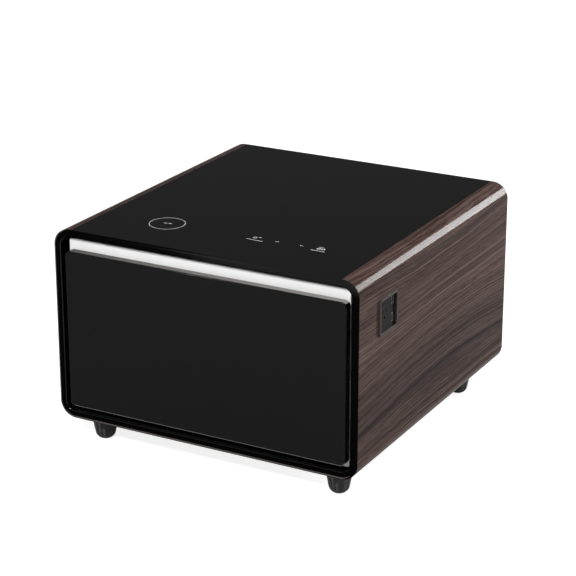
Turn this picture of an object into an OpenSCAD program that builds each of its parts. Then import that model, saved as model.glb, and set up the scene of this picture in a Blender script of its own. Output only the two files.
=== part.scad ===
// Refrigerator nightstand: a wood-laminate cabinet on four feet, with a cooled drawer behind a
// black glass front and the cooling machinery in a bay at the back.
// Millimetres. X runs across the front, Y from front (-) to back (+), Z up from the floor.
// The origin is on the floor, in the middle of the cabinet's footprint.

/* [Cabinet] */
// Width of the cabinet
cab_w = 600; // [580:2:680]
// Depth from the bezel's face to the back edge
cab_d = 625; // [620:1:700]
// Height of the cabinet without its feet
cab_h = 358; // [352:2:400]
// Radius of the four long outer edges
edge_r = 30.5; // [26:0.5:40]
// Thickness of the wood panels
wood_t = 12; // [10:0.5:14]
// Flat strip of wood between the top glass and the rounded edge
seam_flat = 3.5; // [1:0.5:8]
// Thickness of the top glass
top_glass_t = 5; // [4:0.5:6]
// Strip of the top behind the glass, covered by the back panel's folded edge
rear_strip = 5; // [4:0.5:10]
// Thickness of the steel back panel
back_t = 1.2; // [0.8:0.1:2]

/* [Feet] */
// Height of a foot
foot_h = 52; // [45:1:60]
// Radius of a foot where it meets the cabinet
foot_top_r = 26; // [22:0.5:32]
// Radius that the taper would reach at the floor
foot_tip_r = 16.4; // [16:0.2:20]
// Rounding of the lower edge
foot_round = 14.5; // [10:0.5:15]
// Foot centres in from the sides
foot_inset = 60; // [50:1:100]
// Front foot centres behind the front face
foot_front_y = 54; // [45:1:90]
// Rear foot centres in front of the back edge
foot_rear_y = 70; // [45:1:90]
// Radius of the threaded stud in each foot
stud_r = 4; // [3:0.5:5]
// Length of the threaded stud
stud_l = 26; // [20:1:30]

/* [Bezel] */
// Width of the bezel's face, from its outer to its inner edge
bezel_w = 14; // [13.5:0.5:16]
// Thickness of the bezel's face
bezel_t = 2.5; // [2:0.1:4]
// Rounding of the bezel's outer front edge
bezel_round = 2; // [1:0.1:2]
// Rounding of the bezel's inner front edge
bezel_lip = 3.2; // [1:0.2:3.6]

/* [Drawer front] */
// Gap between the drawer glass and the bezel at the sides
front_gap_side = 8.6; // [6:0.2:12]
// Gap below the drawer glass
front_gap_below = 10.5; // [7:0.5:14]
// Height of the opening left above the drawer glass
front_gap_above = 25.5; // [20:0.5:34]
// Corner radius of the drawer glass
front_r = 10; // [6:0.5:14]
// Thickness of the drawer glass
front_glass_t = 4; // [3:0.5:5]
// Thickness of the carrier behind the glass
carrier_t = 12; // [10:0.5:16]
// Height of the handle channel
channel_h = 18; // [15:0.5:26]
// Wall of the carrier beside each end of the handle channel
channel_end = 3; // [2:0.5:5]
// Depth of the finger groove behind the top edge of the glass
groove_depth = 9; // [7:0.5:12]
// Flat floor of the finger groove
groove_floor = 2; // [1:0.5:4]
// Thickness of the silver plate
plate_t = 2; // [1.5:0.1:3]
// Gap between the silver plate and the bezel above it
plate_gap_above = 6.6; // [4:0.2:10]
// Gap between the silver plate and the bezel below it
plate_gap_below = 4; // [3:0.2:6]
// Corner radius of the silver plate
plate_r = 15; // [10:0.5:18]
// Chamfer round the front edge of the silver plate
plate_chamfer = 1; // [0.4:0.1:1.2]
// Thickness of the foam core of the drawer front
core_t = 18; // [14:0.5:24]
// Thickness of the inner door panel's sheet
door_skin = 2.5; // [2:0.5:4]
// How far the inner door panel's plug reaches past the gasket seat
plug_h = 11.5; // [9:0.5:14]
// Height of the gasket between panel and flange
gasket_t = 7.7; // [6:0.1:10]
// Width of the gasket's base
gasket_w = 13; // [11:0.5:15]

/* [Cold space] */
// Foam thickness at the sides
foam_side = 29.7; // [25:0.1:40]
// Foam thickness below the liner
foam_below = 30; // [24:0.5:40]
// Foam thickness above the liner
foam_above = 22; // [18:0.5:26]
// Foam thickness behind the liner
foam_behind = 25; // [20:0.5:32]
// Free height for the electronics under the top board
electronics_gap = 13; // [11:0.5:16]
// Wall of the inner liner
liner_t = 3; // [2:0.5:4]
// Thickness of the liner's front flange
flange_t = 2; // [1.5:0.5:3]
// Inner corner radius of the liner
liner_r = 14; // [8:1:20]
// Depth of the machine bay
bay_d = 170.5; // [165:0.5:175]
// Steel partition between foam and machine bay
partition_t = 1.2; // [0.8:0.1:2]
// Depth of the evaporator's fins
evap_depth = 30; // [24:1:34]
// Height of the evaporator's fins
evap_h = 122; // [112:1:126]
// Free width beside the evaporator's fins
evap_side = 115; // [100:1:130]
// Number of evaporator fins
evap_fins = 22; // [12:1:30]
// Outer radius of the evaporator tube
evap_tube_r = 4; // [3:0.5:5]
// Wall of the duct cover
cover_t = 2; // [1.5:0.5:3]

/* [Bin and rails] */
// Wall of the bin
bin_t = 2.5; // [2:0.5:4]
// Height of the bin
bin_h = 216; // [180:2:220]
// Free height below the bin
bin_clear_below = 7; // [5:0.5:12]
// Width of the bin's rolled rim
bin_rim_w = 6; // [4:0.5:8]
// Height of the bin's rolled rim
bin_rim_h = 6; // [4:0.5:8]
// Outer corner radius of the bin
bin_r = 12; // [8:1:18]
// Thickness of the divider
divider_t = 3; // [2:0.5:4]
// Place of the divider from the middle of the bin
divider_x = 60; // [-100:5:100]
// Width of the hand hole in the divider
grip_w = 90; // [80:2:120]
// Height of the hand hole in the divider
grip_h = 22; // [20:1:30]
// Strip left above the hand hole
grip_top = 13; // [8:1:20]
// Height of the divider
divider_h = 150; // [100:5:180]
// Height of the telescopic rails
rail_h = 45; // [40:1:50]
// Free space between the bin and the duct cover behind it
bin_clear_behind = 20.8; // [5:0.1:30]
// Length of the rail members
rail_l = 300; // [290:1:310]
// Height of the rail's centre above the bottom of the bin
rail_up = 118; // [100:1:140]
// Sheet thickness of the rail members
rail_sheet = 1.2; // [1:0.1:1.5]
// Running gap between rail members
rail_gap = 0.4; // [0.3:0.05:0.5]

/* [Socket unit] */
// Centre of the socket unit behind the front face
outlet_y = 108.5; // [100:0.5:140]
// Centre of the socket unit below the top
outlet_below_top = 88; // [70:1:110]
// Width of the socket frame
outlet_w = 70; // [64:1:80]
// Height of the socket frame
outlet_h = 65; // [64:1:80]
// How far the frame stands proud of the wood
outlet_proud = 3.5; // [1.5:0.5:4]
// Width of the frame's raised rim
outlet_rim = 4; // [3:0.5:6]
// Depth of the recessed face below the rim
outlet_recess = 4; // [2:0.5:4]
// Size of the cut-out in the wood
outlet_cut = 60; // [56:1:62]
// Depth of the socket inserts
insert_depth = 22; // [18:1:26]
// Radius of the mains insert
mains_r = 17.5; // [16:0.5:18]
// Inserts above the middle of the socket unit
inserts_up = 3.5; // [0:0.5:4]

/* [Top electronics] */
// Charging coil centre in from the left side
coil_in = 164; // [150:1:190]
// Charging coil centre behind the front face
coil_y = 115; // [105:1:140]
// Outer radius of the coil's winding
coil_r = 25; // [20:0.5:28]
// Radius of the hole for the coil in the top board
coil_hole_r = 34; // [32:0.5:38]
// Thickness of the circuit boards
pcb_t = 1.6; // [1.2:0.2:2]
// Last touch pad in from the right side
touch_in = 135; // [120:1:150]
// Radius of a touch pad
touch_r = 5; // [4:0.5:7]
// Clear space round the touch pads in the top board
touch_room = 13; // [10:1:16]
// Distance between the first and the last touch pad
touch_span = 122; // [100:1:130]
// Touch pads behind the front face
touch_y = 119; // [105:1:140]

/* [Machine bay] */
// Compressor centre in from the left wood side
comp_in = 138; // [130:1:150]
// Radius of the compressor's can
comp_r = 60; // [55:1:62]
// Height of the compressor's can
comp_h = 112; // [100:1:130]
// Radius of the can's upper rounding
comp_round = 30; // [20:1:40]
// Width of a louvre slot without its round ends
louvre_w = 56; // [40:2:60]
// Height of a louvre slot
louvre_h = 5; // [3:0.5:6]
// Distance from louvre to louvre, sideways
louvre_pitch_x = 74; // [72:1:74]
// Distance from louvre to louvre, upwards
louvre_pitch_z = 14; // [12:0.5:14]
// Radius of the back panel's screws
back_screw_r = 2; // [1.5:0.25:2.5]
// Length of the back panel's screws below the sheet
back_screw_l = 14; // [10:1:18]
// Outer screws of the back panel in from the wood sides
back_screw_in = 14; // [12:1:20]
// Screws of the back panel in from the top and base boards
back_screw_up = 30; // [24:1:40]
// Height of the rubber mounts
mount_h = 16; // [12:1:20]
// Radius of the rubber mounts
mount_r = 11; // [9:0.5:12]
// Right end of the condenser's fins in from the wood side
cond_in = 32; // [30:1:40]
// Width of the condenser's fins
cond_w = 186; // [170:2:190]
// Depth of the condenser's fins
cond_d = 36; // [30:1:40]
// Tube rows of the condenser
cond_rows = 9; // [7:2:9]
// Distance between the condenser's tube rows
cond_pitch = 26; // [24:0.5:27]
// Number of condenser fins
cond_fins = 16; // [8:1:20]
// Radius of the condenser and discharge tubes
tube_r = 3; // [2.5:0.5:3.5]
// Radius of the suction pipe
suction_r = 4; // [3:0.5:4]
// Radius of the capillary tube
capillary_r = 1.2; // [1:0.1:1.5]
// Rise of the capillary tube above the dryer
capillary_rise = 12; // [10:1:14]
// Bend radius of the pipes
bend_r = 10; // [8:0.5:11]
// Side of the condenser fan's frame
cond_fan = 92; // [80:2:96]
// Side of the evaporator fan's frame
evap_fan = 80; // [70:2:84]
// Depth of the fan frames
fan_depth = 20; // [18:1:25]
// Radius of the fan shafts
shaft_r = 1.5; // [1.5:0.5:2.5]
// Radius of the filter dryer
dryer_r = 9; // [7:0.5:9]
// Length of the filter dryer
dryer_l = 80; // [60:2:90]

/* [Fits] */
// Clearance between pieces that sit in each other
fit = 0.3; // [0.2:0.05:0.4]
// Running clearance of a shaft, on the radius
running_fit = 0.05; // [0.03:0.01:0.08]
// Clearance round a screw or stud
screw_fit = 0.1; // [0.05:0.05:0.2]

/* [Hidden] */

$fn = 64;
eps = 0.01;
cut = 1;

// Colours, as the photograph shows them
wood_colour = [0.34, 0.28, 0.27];
black_gloss = [0.03, 0.03, 0.03];
black_glass = [0.11, 0.11, 0.12];
silver = [0.88, 0.88, 0.88];
grey_metal = [0.52, 0.51, 0.50];
white_plastic = [0.90, 0.91, 0.90];
grey_plastic = [0.35, 0.36, 0.37];
zinc = [0.66, 0.68, 0.70];
foam_colour = [0.93, 0.88, 0.72];
copper = [0.72, 0.43, 0.28];
board_green = [0.10, 0.36, 0.22];

// Cabinet planes
foot_x = cab_w / 2 - foot_inset;
coil_x = -cab_w / 2 + coil_in;
touch_x = cab_w / 2 - touch_in - touch_span;
bottom_z = foot_h;
top_z = foot_h + cab_h;
front_y = -cab_d / 2;
back_y = cab_d / 2;
in_x = cab_w / 2 - wood_t;
in_bottom = bottom_z + wood_t;
in_top = top_z - wood_t;
in_r = edge_r - wood_t;
mid_z = (bottom_z + top_z) / 2;
seam_x = cab_w / 2 - edge_r - seam_flat;
top_board_t = wood_t - top_glass_t;
wood_front = front_y + bezel_t;
back_inner = back_y - back_t;

// Drawer front planes
open_x = cab_w / 2 - bezel_w;
open_bottom = bottom_z + bezel_w;
open_top = top_z - bezel_w;
front_x = open_x - front_gap_side;
channel_x = front_x - channel_end;
front_bottom = open_bottom + front_gap_below;
front_top = open_top - front_gap_above;
carrier_y = front_y + front_glass_t;
plate_y = carrier_y + carrier_t;
core_y = plate_y + plate_t;
door_base_y = core_y + core_t;
flange_y = door_base_y + door_skin + gasket_t + fit;
bezel_depth = flange_y - fit - front_y;
plate_bottom = open_bottom + plate_gap_below;
plate_top = open_top - plate_gap_above;
plate_mid = (plate_bottom + plate_top) / 2;
plate_h = plate_top - plate_bottom;

// Cold space planes
liner_x = in_x - fit - foam_side - liner_t;
cold_bottom = in_bottom + foam_below + liner_t;
cold_top = in_top - electronics_gap - foam_above - liner_t;
bay_y = back_inner - bay_d;
cold_back = bay_y - partition_t - foam_behind - liner_t;
foam_top_z = in_top - electronics_gap;

// Rails, bin and door panel
cover_room = 8;
rail_y = flange_y + flange_t + 3;
rail_z = cold_bottom + bin_clear_below + rail_up;
rail_wall = rail_sheet + rail_gap;
rail_lip = 3.7;
rail_deep = 9 + rail_wall + rail_sheet + rail_gap;
rail_t = rail_deep + rail_sheet - rail_gap / 2;
bin_x = liner_x - rail_t;
bin_z = cold_bottom + bin_clear_below;
plug_front = door_base_y + door_skin;
plug_back = plug_front + plug_h;
bin_l = cold_back - fit - evap_depth - cover_room - bin_clear_behind - plug_back;
seal_in_x = liner_x + 4;
seal_in_bottom = cold_bottom - 4;
seal_in_top = cold_top + 4;
panel_x = seal_in_x + gasket_w + 2;
panel_bottom = seal_in_bottom - gasket_w - 2;
panel_top = seal_in_top + gasket_w + 2;
plug_x = bin_x - 5;
plug_bottom = bin_z + 6;
plug_top = cold_top - 12;

// Socket unit
outlet_mid_y = front_y + outlet_y;
outlet_mid_z = top_z - outlet_below_top;
inserts_z = outlet_mid_z + inserts_up;
outlet_face = cab_w / 2 + outlet_proud - outlet_recess;
socket_dy = -11;
usb_dy = 17.5;
usb_dz = 16;
usb_w = 5.1;
usb_h = 12.5;
usb_shell = 1.5;
insert_flange = 3;

// Evaporator, fans and covers
cover_x = bin_x - 7;
cover_depth = evap_depth + cover_room;
evap_w = 2 * (liner_x - evap_side);
cover_front = cold_back - fit - cover_depth;
evap_y = cold_back - fit - evap_depth / 2;
evap_rows = 4;
evap_fin_t = 2;
evap_below = 24;
evap_fin_low = 16;
evap_z0 = cold_bottom + evap_below;
evap_pitch = 30;
evap_out = 12;
evap_end = evap_w / 2 + evap_out;
evap_bend = 5;
evap_top_row = evap_z0 + (evap_rows - 1) * evap_pitch;
evap_fan_top = 16;
evap_fan_z = cold_top - evap_fan_top - evap_fan / 2;
evap_fan_y = cover_front + cover_t + fan_depth / 2;

// Machine bay
bay_mid = (bay_y + back_inner) / 2;
comp_plate_t = 3;
comp_z = in_bottom + mount_h + comp_plate_t;
comp_x = -in_x + comp_in;
comp_foot_x = comp_r + 6;
comp_foot_y = comp_r - 12;
comp_plate_rim = 13;
comp_seam_z = comp_h * 0.45;
cond_y = back_inner - 4 - cond_d / 2;
cond_up = 32;
cond_z0 = in_bottom + cond_up;
cond_z1 = cond_z0 + (cond_rows - 1) * cond_pitch;
cond_end = in_x - cond_in;
cond_x = cond_end - cond_w;
cond_fin_t = 1.2;
cond_turn_room = 8;
cond_fins_below = 10;
cond_fins_above = 12;
cond_out_x = cond_end + 14;
fan_x = cond_x - cond_turn_room - 7 - fan_depth / 2;
fan_y = bay_mid + fan_depth / 2 + 4;
fan_z = in_bottom + cond_fan / 2;
dryer_y = bay_y + dryer_r + fit;
dryer_z = cond_z0 + 20;
louvre_z = in_bottom + 60;
screw_head_h = 2.2;
inlet_x = -in_x + 36;
inlet_z = in_bottom + 46;
inlet_w = 28;
inlet_h = 20;
inlet_d = 24;
inlet_wall = 2;
box_x = -10;
box_z = in_top - 90;
box_w = 130;
box_h = 120;
box_d = 34;
box_t = 2;
boss_h = 6;
boss_in = 10;
pipe_hole_r = suction_r + 3;
lens_w = 90;
lens_d = 28;
lens_h = 6;
lens_y = flange_y + 150;
slot_pitch = 30;
slot_w = 18;
slot_h = 6;

// ---------- shared shapes ----------

// Rectangle with round corners, centred
module round_rect(w, h, r) {
    square([w - 2 * r, h], center = true);
    square([w, h - 2 * r], center = true);
    for (x = [-1, 1], y = [-1, 1])
        translate([x * (w / 2 - r), y * (h / 2 - r)]) circle(r);
}

// Plate facing the front: a 2D outline in X and Z, from y = 0 backwards
module facing_front(t) {
    rotate([90, 0, 0]) mirror([0, 0, 1]) linear_extrude(t) children();
}

// Upright plate with round corners between two heights, from front y backwards
module upright(w, z0, z1, r, y, t) {
    translate([0, y, (z0 + z1) / 2]) facing_front(t) round_rect(w, z1 - z0, r);
}

// Box between two corners
module block(a, b) {
    translate(a) cube(b - a);
}

// Ring of a given outline, swept from a profile whose x counts from the corner's centre
module swept_ring(w, h, r) {
    for (i = [0:3]) rotate([0, 0, 90 * i]) {
        a = i % 2 == 0 ? w : h;
        b = i % 2 == 0 ? h : w;
        translate([a / 2 - r, b / 2 - r, 0]) rotate_extrude(angle = 90) children();
        translate([a / 2 - r, b / 2 - r, 0])
            rotate([90, 0, 0]) linear_extrude(b - 2 * r) children();
    }
}

// Pipe along square turns, with round bends; p holds the corner points
function unit(v) = v / norm(v);
function way(p, i) = unit(p[i + 1] - p[i]);
module pipe(p, r, bend) {
    last = len(p) - 1;
    for (i = [0:last - 1]) {
        d = way(p, i);
        a = p[i] + (i > 0 ? d * bend : d * 0);
        b = p[i + 1] - (i < last - 1 ? d * bend : d * 0);
        side = [d.y, d.z, d.x];
        up = cross(d, side);
        multmatrix([
            [side.x, up.x, d.x, a.x],
            [side.y, up.y, d.y, a.y],
            [side.z, up.z, d.z, a.z],
            [0, 0, 0, 1]
        ]) cylinder(r = r, h = norm(b - a));
    }
    if (last > 1) for (i = [1:last - 1]) {
        from = way(p, i - 1);
        to = way(p, i);
        c = p[i] - from * bend + to * bend;
        axis = cross(-to, from);
        multmatrix([
            [-to.x, from.x, axis.x, c.x],
            [-to.y, from.y, axis.y, c.y],
            [-to.z, from.z, axis.z, c.z],
            [0, 0, 0, 1]
        ]) rotate_extrude(angle = 90) translate([bend, 0]) circle(r, $fn = 24);
    }
}

// ---------- cabinet ----------

// Half of the wood wrap: one side with its rounded top and bottom edges
module side_wrap(side) {
    translate([0, wood_front, mid_z]) facing_front(back_y - wood_front)
        intersection() {
            difference() {
                round_rect(cab_w, cab_h, edge_r);
                round_rect(2 * in_x, in_top - in_bottom, in_r);
            }
            translate([side * (seam_x + cab_w) / 2, 0])
                square([cab_w - seam_x, cab_h + 2], center = true);
        }
}

module side_panel_left() {
    color(wood_colour) side_wrap(-1);
}

module side_panel_right() {
    color(wood_colour) difference() {
        side_wrap(1);
        translate([cab_w / 2, outlet_mid_y, outlet_mid_z])
            cube([4 * wood_t, outlet_cut, outlet_cut], center = true);
    }
}

module top_board() {
    color(wood_colour) difference() {
        block([-seam_x, flange_y, in_top], [seam_x, back_y - rear_strip, in_top + top_board_t]);
        translate([coil_x, front_y + coil_y, in_top - 1]) cylinder(r = coil_hole_r, h = wood_t);
        block([touch_x - touch_room, front_y + touch_y - touch_room, in_top - cut],
              [touch_x + touch_span + touch_room, front_y + touch_y + touch_room, top_z]);
    }
}

module top_glass() {
    color(black_glass)
        block([-seam_x + fit, wood_front + fit, top_z - top_glass_t],
              [seam_x - fit, back_y - rear_strip - fit, top_z]);
}

module base_board() {
    color(wood_colour) difference() {
        block([-seam_x, wood_front, bottom_z], [seam_x, back_inner, in_bottom]);
        each_foot() translate([0, 0, foot_h - 1]) cylinder(r = stud_r + screw_fit, h = wood_t + 2);
    }
}

// Group of slots, from its middle column at x outwards
module louvres(x, rows) {
    for (c = [-1:1], r = [0:rows - 1])
        translate([x + c * louvre_pitch_x, louvre_z + r * louvre_pitch_z]) {
            square([louvre_w, louvre_h], center = true);
            for (e = [-1, 1]) translate([e * louvre_w / 2, 0]) circle(louvre_h / 2);
        }
}

module back_panel() {
    color(black_gloss) {
        difference() {
            translate([0, back_inner, 0]) facing_front(back_t) difference() {
                translate([0, mid_z])
                    round_rect(2 * (in_x - fit), in_top - in_bottom - 2 * fit, in_r);
                louvres(cond_x + cond_w / 2 - 19, 17);
                louvres(comp_x, 10);
                translate([inlet_x, inlet_z])
                    square([inlet_w + 2 * fit, inlet_h + 2 * fit], center = true);
            }
            each_back_screw() rotate([90, 0, 0])
                cylinder(r = back_screw_r + screw_fit, h = 30, center = true);
        }
        block([-seam_x + fit, back_inner, in_top - 2], [seam_x - fit, back_y, top_z]);
        block([-seam_x + fit, back_y - rear_strip, top_z - back_t], [seam_x - fit, back_y, top_z]);
        block([-seam_x + fit, back_inner, bottom_z], [seam_x - fit, back_y, in_bottom + 2]);
    }
}

module each_back_screw() {
    for (x = [-1:1], z = [in_bottom + back_screw_up, in_top - back_screw_up])
        translate([x * (in_x - back_screw_in), back_inner, z]) children();
}

module back_screws() {
    color(zinc) each_back_screw() rotate([90, 0, 0]) {
        translate([0, 0, -back_t - screw_head_h]) cylinder(r = 2 * back_screw_r, h = screw_head_h);
        translate([0, 0, -back_t - eps]) cylinder(r = back_screw_r, h = back_screw_l);
    }
}

// Section of the bezel: face and collar, with both front edges rounded
module bezel_section() {
    r1 = edge_r;
    r0 = edge_r - bezel_w;
    rc = edge_r - wood_t - fit;
    difference() {
        union() {
            translate([r0, 0]) square([bezel_w - bezel_round, bezel_t]);
            translate([r1 - bezel_round, bezel_round]) intersection() {
                circle(bezel_round);
                translate([0, -bezel_round]) square([bezel_round, bezel_round]);
            }
            translate([r1 - bezel_round, bezel_round]) square([bezel_round, bezel_t - bezel_round]);
            translate([r0, 0]) square([rc - r0, bezel_depth]);
        }
        difference() {
            translate([r0 - 1, -1]) square([bezel_lip + 1, bezel_lip + 1]);
            translate([r0 + bezel_lip, bezel_lip]) circle(bezel_lip);
        }
    }
}

module front_bezel() {
    color(black_gloss) translate([0, front_y, mid_z]) rotate([-90, 0, 0])
        swept_ring(cab_w, cab_h, edge_r) bezel_section();
}

// ---------- feet ----------

module each_foot() {
    for (x = [-1, 1]) {
        translate([x * foot_x, front_y + foot_front_y, 0]) children();
        translate([x * foot_x, back_y - foot_rear_y, 0]) children();
    }
}

module foot() {
    taper = atan((foot_top_r - foot_tip_r) / foot_h);
    reach = foot_round * tan((90 - taper) / 2);
    flat_r = foot_tip_r - reach;
    color(black_gloss) difference() {
        rotate_extrude() {
            polygon([[0, 0], [flat_r, 0], [flat_r, foot_round],
                     [foot_tip_r + reach * sin(taper), reach * cos(taper)],
                     [foot_top_r, foot_h], [0, foot_h]]);
            intersection() {
                translate([flat_r, foot_round]) circle(foot_round);
                square([foot_top_r, foot_round * 1.4]);
            }
        }
        translate([0, 0, foot_h + wood_t - stud_l - fit])
            cylinder(r = stud_r + screw_fit, h = stud_l);
    }
}

module foot_front_left() {
    translate([-foot_x, front_y + foot_front_y, 0]) foot();
}

module foot_front_right() {
    translate([foot_x, front_y + foot_front_y, 0]) foot();
}

module foot_rear_left() {
    translate([-foot_x, back_y - foot_rear_y, 0]) foot();
}

module foot_rear_right() {
    translate([foot_x, back_y - foot_rear_y, 0]) foot();
}

module foot_studs() {
    color(zinc) each_foot() translate([0, 0, foot_h + wood_t - stud_l])
        cylinder(r = stud_r, h = stud_l);
}

// ---------- socket unit in the right side ----------

// Outline in Y and Z extruded along X, from x = 0 outwards
module facing_side(t) {
    rotate([90, 0, 90]) linear_extrude(t) children();
}

module outlet_frame() {
    collar = outlet_cut - 2 * fit;
    color(black_gloss) translate([0, outlet_mid_y, outlet_mid_z]) difference() {
        union() {
            translate([cab_w / 2, 0, 0]) facing_side(outlet_proud)
                round_rect(outlet_w, outlet_h, 6);
            translate([in_x, 0, 0]) facing_side(wood_t)
                square([collar, collar], center = true);
        }
        translate([outlet_face, 0, 0]) facing_side(outlet_recess + 1)
            round_rect(outlet_w - 2 * outlet_rim, outlet_h - 2 * outlet_rim, 4);
        translate([in_x - 1, socket_dy, inserts_up])
            facing_side(wood_t + 8) circle(mains_r + fit);
        for (z = [-1, 1]) translate([in_x - 1, usb_dy, inserts_up + z * usb_dz])
            facing_side(wood_t + 8)
                square([usb_w + 2 * (usb_shell + fit), usb_h + 2 * (usb_shell + fit)],
                       center = true);
    }
}

module mains_socket() {
    slot_depth = 16;
    slot_t = 1.8;
    blade_gap = 12.7;
    color(black_gloss) translate([0, outlet_mid_y + socket_dy, inserts_z]) difference() {
        union() {
            translate([outlet_face + 0.5 - insert_depth, 0, 0])
                facing_side(insert_depth) circle(mains_r);
            translate([in_x - insert_flange, 0, 0]) facing_side(insert_flange - fit)
                circle(mains_r + 2);
        }
        for (y = [-1, 1]) translate([outlet_face - slot_depth, y * blade_gap / 2, 3])
            facing_side(slot_depth + cut) square([slot_t, y < 0 ? 8.4 : 6.9], center = true);
        translate([outlet_face - slot_depth, 0, -8]) facing_side(slot_depth + cut) circle(2.5);
    }
}

module usb_ports() {
    color(zinc) for (z = [-1, 1])
        translate([0, outlet_mid_y + usb_dy, inserts_z + z * usb_dz]) {
            difference() {
                union() {
                    translate([outlet_face + 0.5 - insert_depth, 0, 0]) facing_side(insert_depth)
                        square([usb_w + 2 * usb_shell, usb_h + 2 * usb_shell], center = true);
                    translate([in_x - insert_flange, 0, 0]) facing_side(insert_flange - fit)
                        square([usb_w + 7, usb_h + 7], center = true);
                }
                translate([outlet_face - 14, 0, 0]) facing_side(18)
                    square([usb_w, usb_h], center = true);
            }
            translate([outlet_face - 14, 0.6, 0]) facing_side(12)
                square([1.6, usb_h - 1.5], center = true);
        }
}

// ---------- electronics under the top glass ----------

module touch_board() {
    rim = touch_room + 7;
    color(board_green) {
        block([touch_x - rim, front_y + touch_y - rim, in_top - pcb_t],
              [touch_x + touch_span + rim, front_y + touch_y + rim, in_top]);
        for (i = [0:3]) translate([touch_x + i * touch_span / 3, front_y + touch_y, in_top])
            cylinder(r = touch_r, h = top_board_t - fit);
    }
}

module charger_board() {
    side = 2 * coil_hole_r + 10;
    color(board_green) {
        translate([coil_x, front_y + coil_y, in_top - pcb_t / 2])
            cube([side, side, pcb_t], center = true);
        for (x = [-24, -8, 8, 24])
            translate([coil_x + x, front_y + coil_y + 22, in_top - pcb_t - 3])
                cube([8, 6, 6 + pcb_t], center = true);
    }
}

// Flat winding on its ferrite disc
module charging_coil() {
    translate([coil_x, front_y + coil_y, in_top]) {
        color(grey_plastic) cylinder(r = coil_r + 4, h = 2);
        color(copper) translate([0, 0, 2]) difference() {
            cylinder(r = coil_r, h = 2.2);
            for (r = [12:3:coil_r - 3]) translate([0, 0, 1.6]) difference() {
                cylinder(r = r + 0.8, h = 1);
                cylinder(r = r, h = 1);
            }
            translate([0, 0, -1]) cylinder(r = 9, h = 5);
        }
    }
}

// ---------- cold space ----------

module inner_liner() {
    color(white_plastic) difference() {
        union() {
            upright(2 * (liner_x + liner_t), cold_bottom - liner_t, cold_top + liner_t,
                    liner_r + liner_t, flange_y, cold_back + liner_t - flange_y);
            upright(2 * (in_x - fit), in_bottom + fit, in_top - fit, in_r, flange_y, flange_t);
        }
        upright(2 * liner_x, cold_bottom, cold_top, liner_r, flange_y - 1,
                cold_back - flange_y + 1);
        pipe_holes() cylinder(r = pipe_hole_r, h = 40, center = true);
    }
}

// Where the evaporator's two tube ends pass to the machine bay
module pipe_holes() {
    for (z = [evap_z0, evap_top_row]) translate([evap_end, cold_back, z])
        rotate([90, 0, 0]) children();
}

module foam_top() {
    color(foam_colour)
        block([-liner_x - liner_t, flange_y + flange_t, cold_top + liner_t],
              [liner_x + liner_t, bay_y - partition_t, foam_top_z]);
}

module foam_bottom() {
    color(foam_colour)
        block([-liner_x - liner_t, flange_y + flange_t, in_bottom],
              [liner_x + liner_t, cold_back + liner_t, cold_bottom - liner_t]);
}

// Board that fills the space between the liner and one wood side, round corners included
module foam_side_board(side) {
    length = cold_back + liner_t - flange_y - flange_t;
    color(foam_colour) mirror([side < 0 ? 1 : 0, 0, 0])
        translate([0, flange_y + flange_t, mid_z]) facing_front(length) intersection() {
            round_rect(2 * (in_x - fit), in_top - in_bottom - 2 * fit, in_r);
            translate([liner_x + liner_t, in_bottom - mid_z])
                square([in_x, foam_top_z - in_bottom]);
        }
}

module foam_left() {
    foam_side_board(-1);
}

module foam_right() {
    color(foam_colour) difference() {
        foam_side_board(1);
        translate([in_x, outlet_mid_y, outlet_mid_z])
            cube([2 * (insert_depth - wood_t + 6), outlet_cut + 8, outlet_cut + 8], center = true);
    }
}

module foam_rear() {
    color(foam_colour) difference() {
        block([-liner_x - liner_t, cold_back + liner_t, in_bottom],
              [liner_x + liner_t, bay_y - partition_t, cold_top + liner_t]);
        pipe_holes() cylinder(r = pipe_hole_r, h = 4 * foam_behind, center = true);
    }
}

module partition() {
    color(zinc) difference() {
        upright(2 * (in_x - fit), in_bottom + fit, in_top - fit, in_r, bay_y - partition_t,
                partition_t);
        pipe_holes() cylinder(r = pipe_hole_r, h = 4 * foam_behind, center = true);
    }
}

// Fins on a tube that goes to and fro; both tube ends leave to the back
module evaporator() {
    fin_gap = (evap_w - evap_fin_t) / (evap_fins - 1);
    run = evap_end - evap_pitch / 2;
    color(zinc) {
        for (i = [0:evap_fins - 1])
            translate([-evap_w / 2 + i * fin_gap, evap_y - evap_depth / 2,
                       evap_z0 - evap_fin_low])
                cube([evap_fin_t, evap_depth, evap_h]);
        for (i = [0:evap_rows - 1]) translate([-run, evap_y, evap_z0 + i * evap_pitch])
            rotate([0, 90, 0]) cylinder(r = evap_tube_r, h = 2 * run);
        for (i = [0:evap_rows - 2])
            translate([(i % 2 == 0 ? -1 : 1) * run, evap_y, evap_z0 + (i + 0.5) * evap_pitch])
                rotate([90, 0, i % 2 == 0 ? 180 : 0]) rotate([0, 0, -90])
                    rotate_extrude(angle = 180) translate([evap_pitch / 2, 0])
                        circle(evap_tube_r, $fn = 24);
        for (z = [evap_z0, evap_top_row])
            pipe([[run, evap_y, z], [evap_end, evap_y, z], [evap_end, cold_back, z]],
                 evap_tube_r, evap_bend);
    }
}

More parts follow.
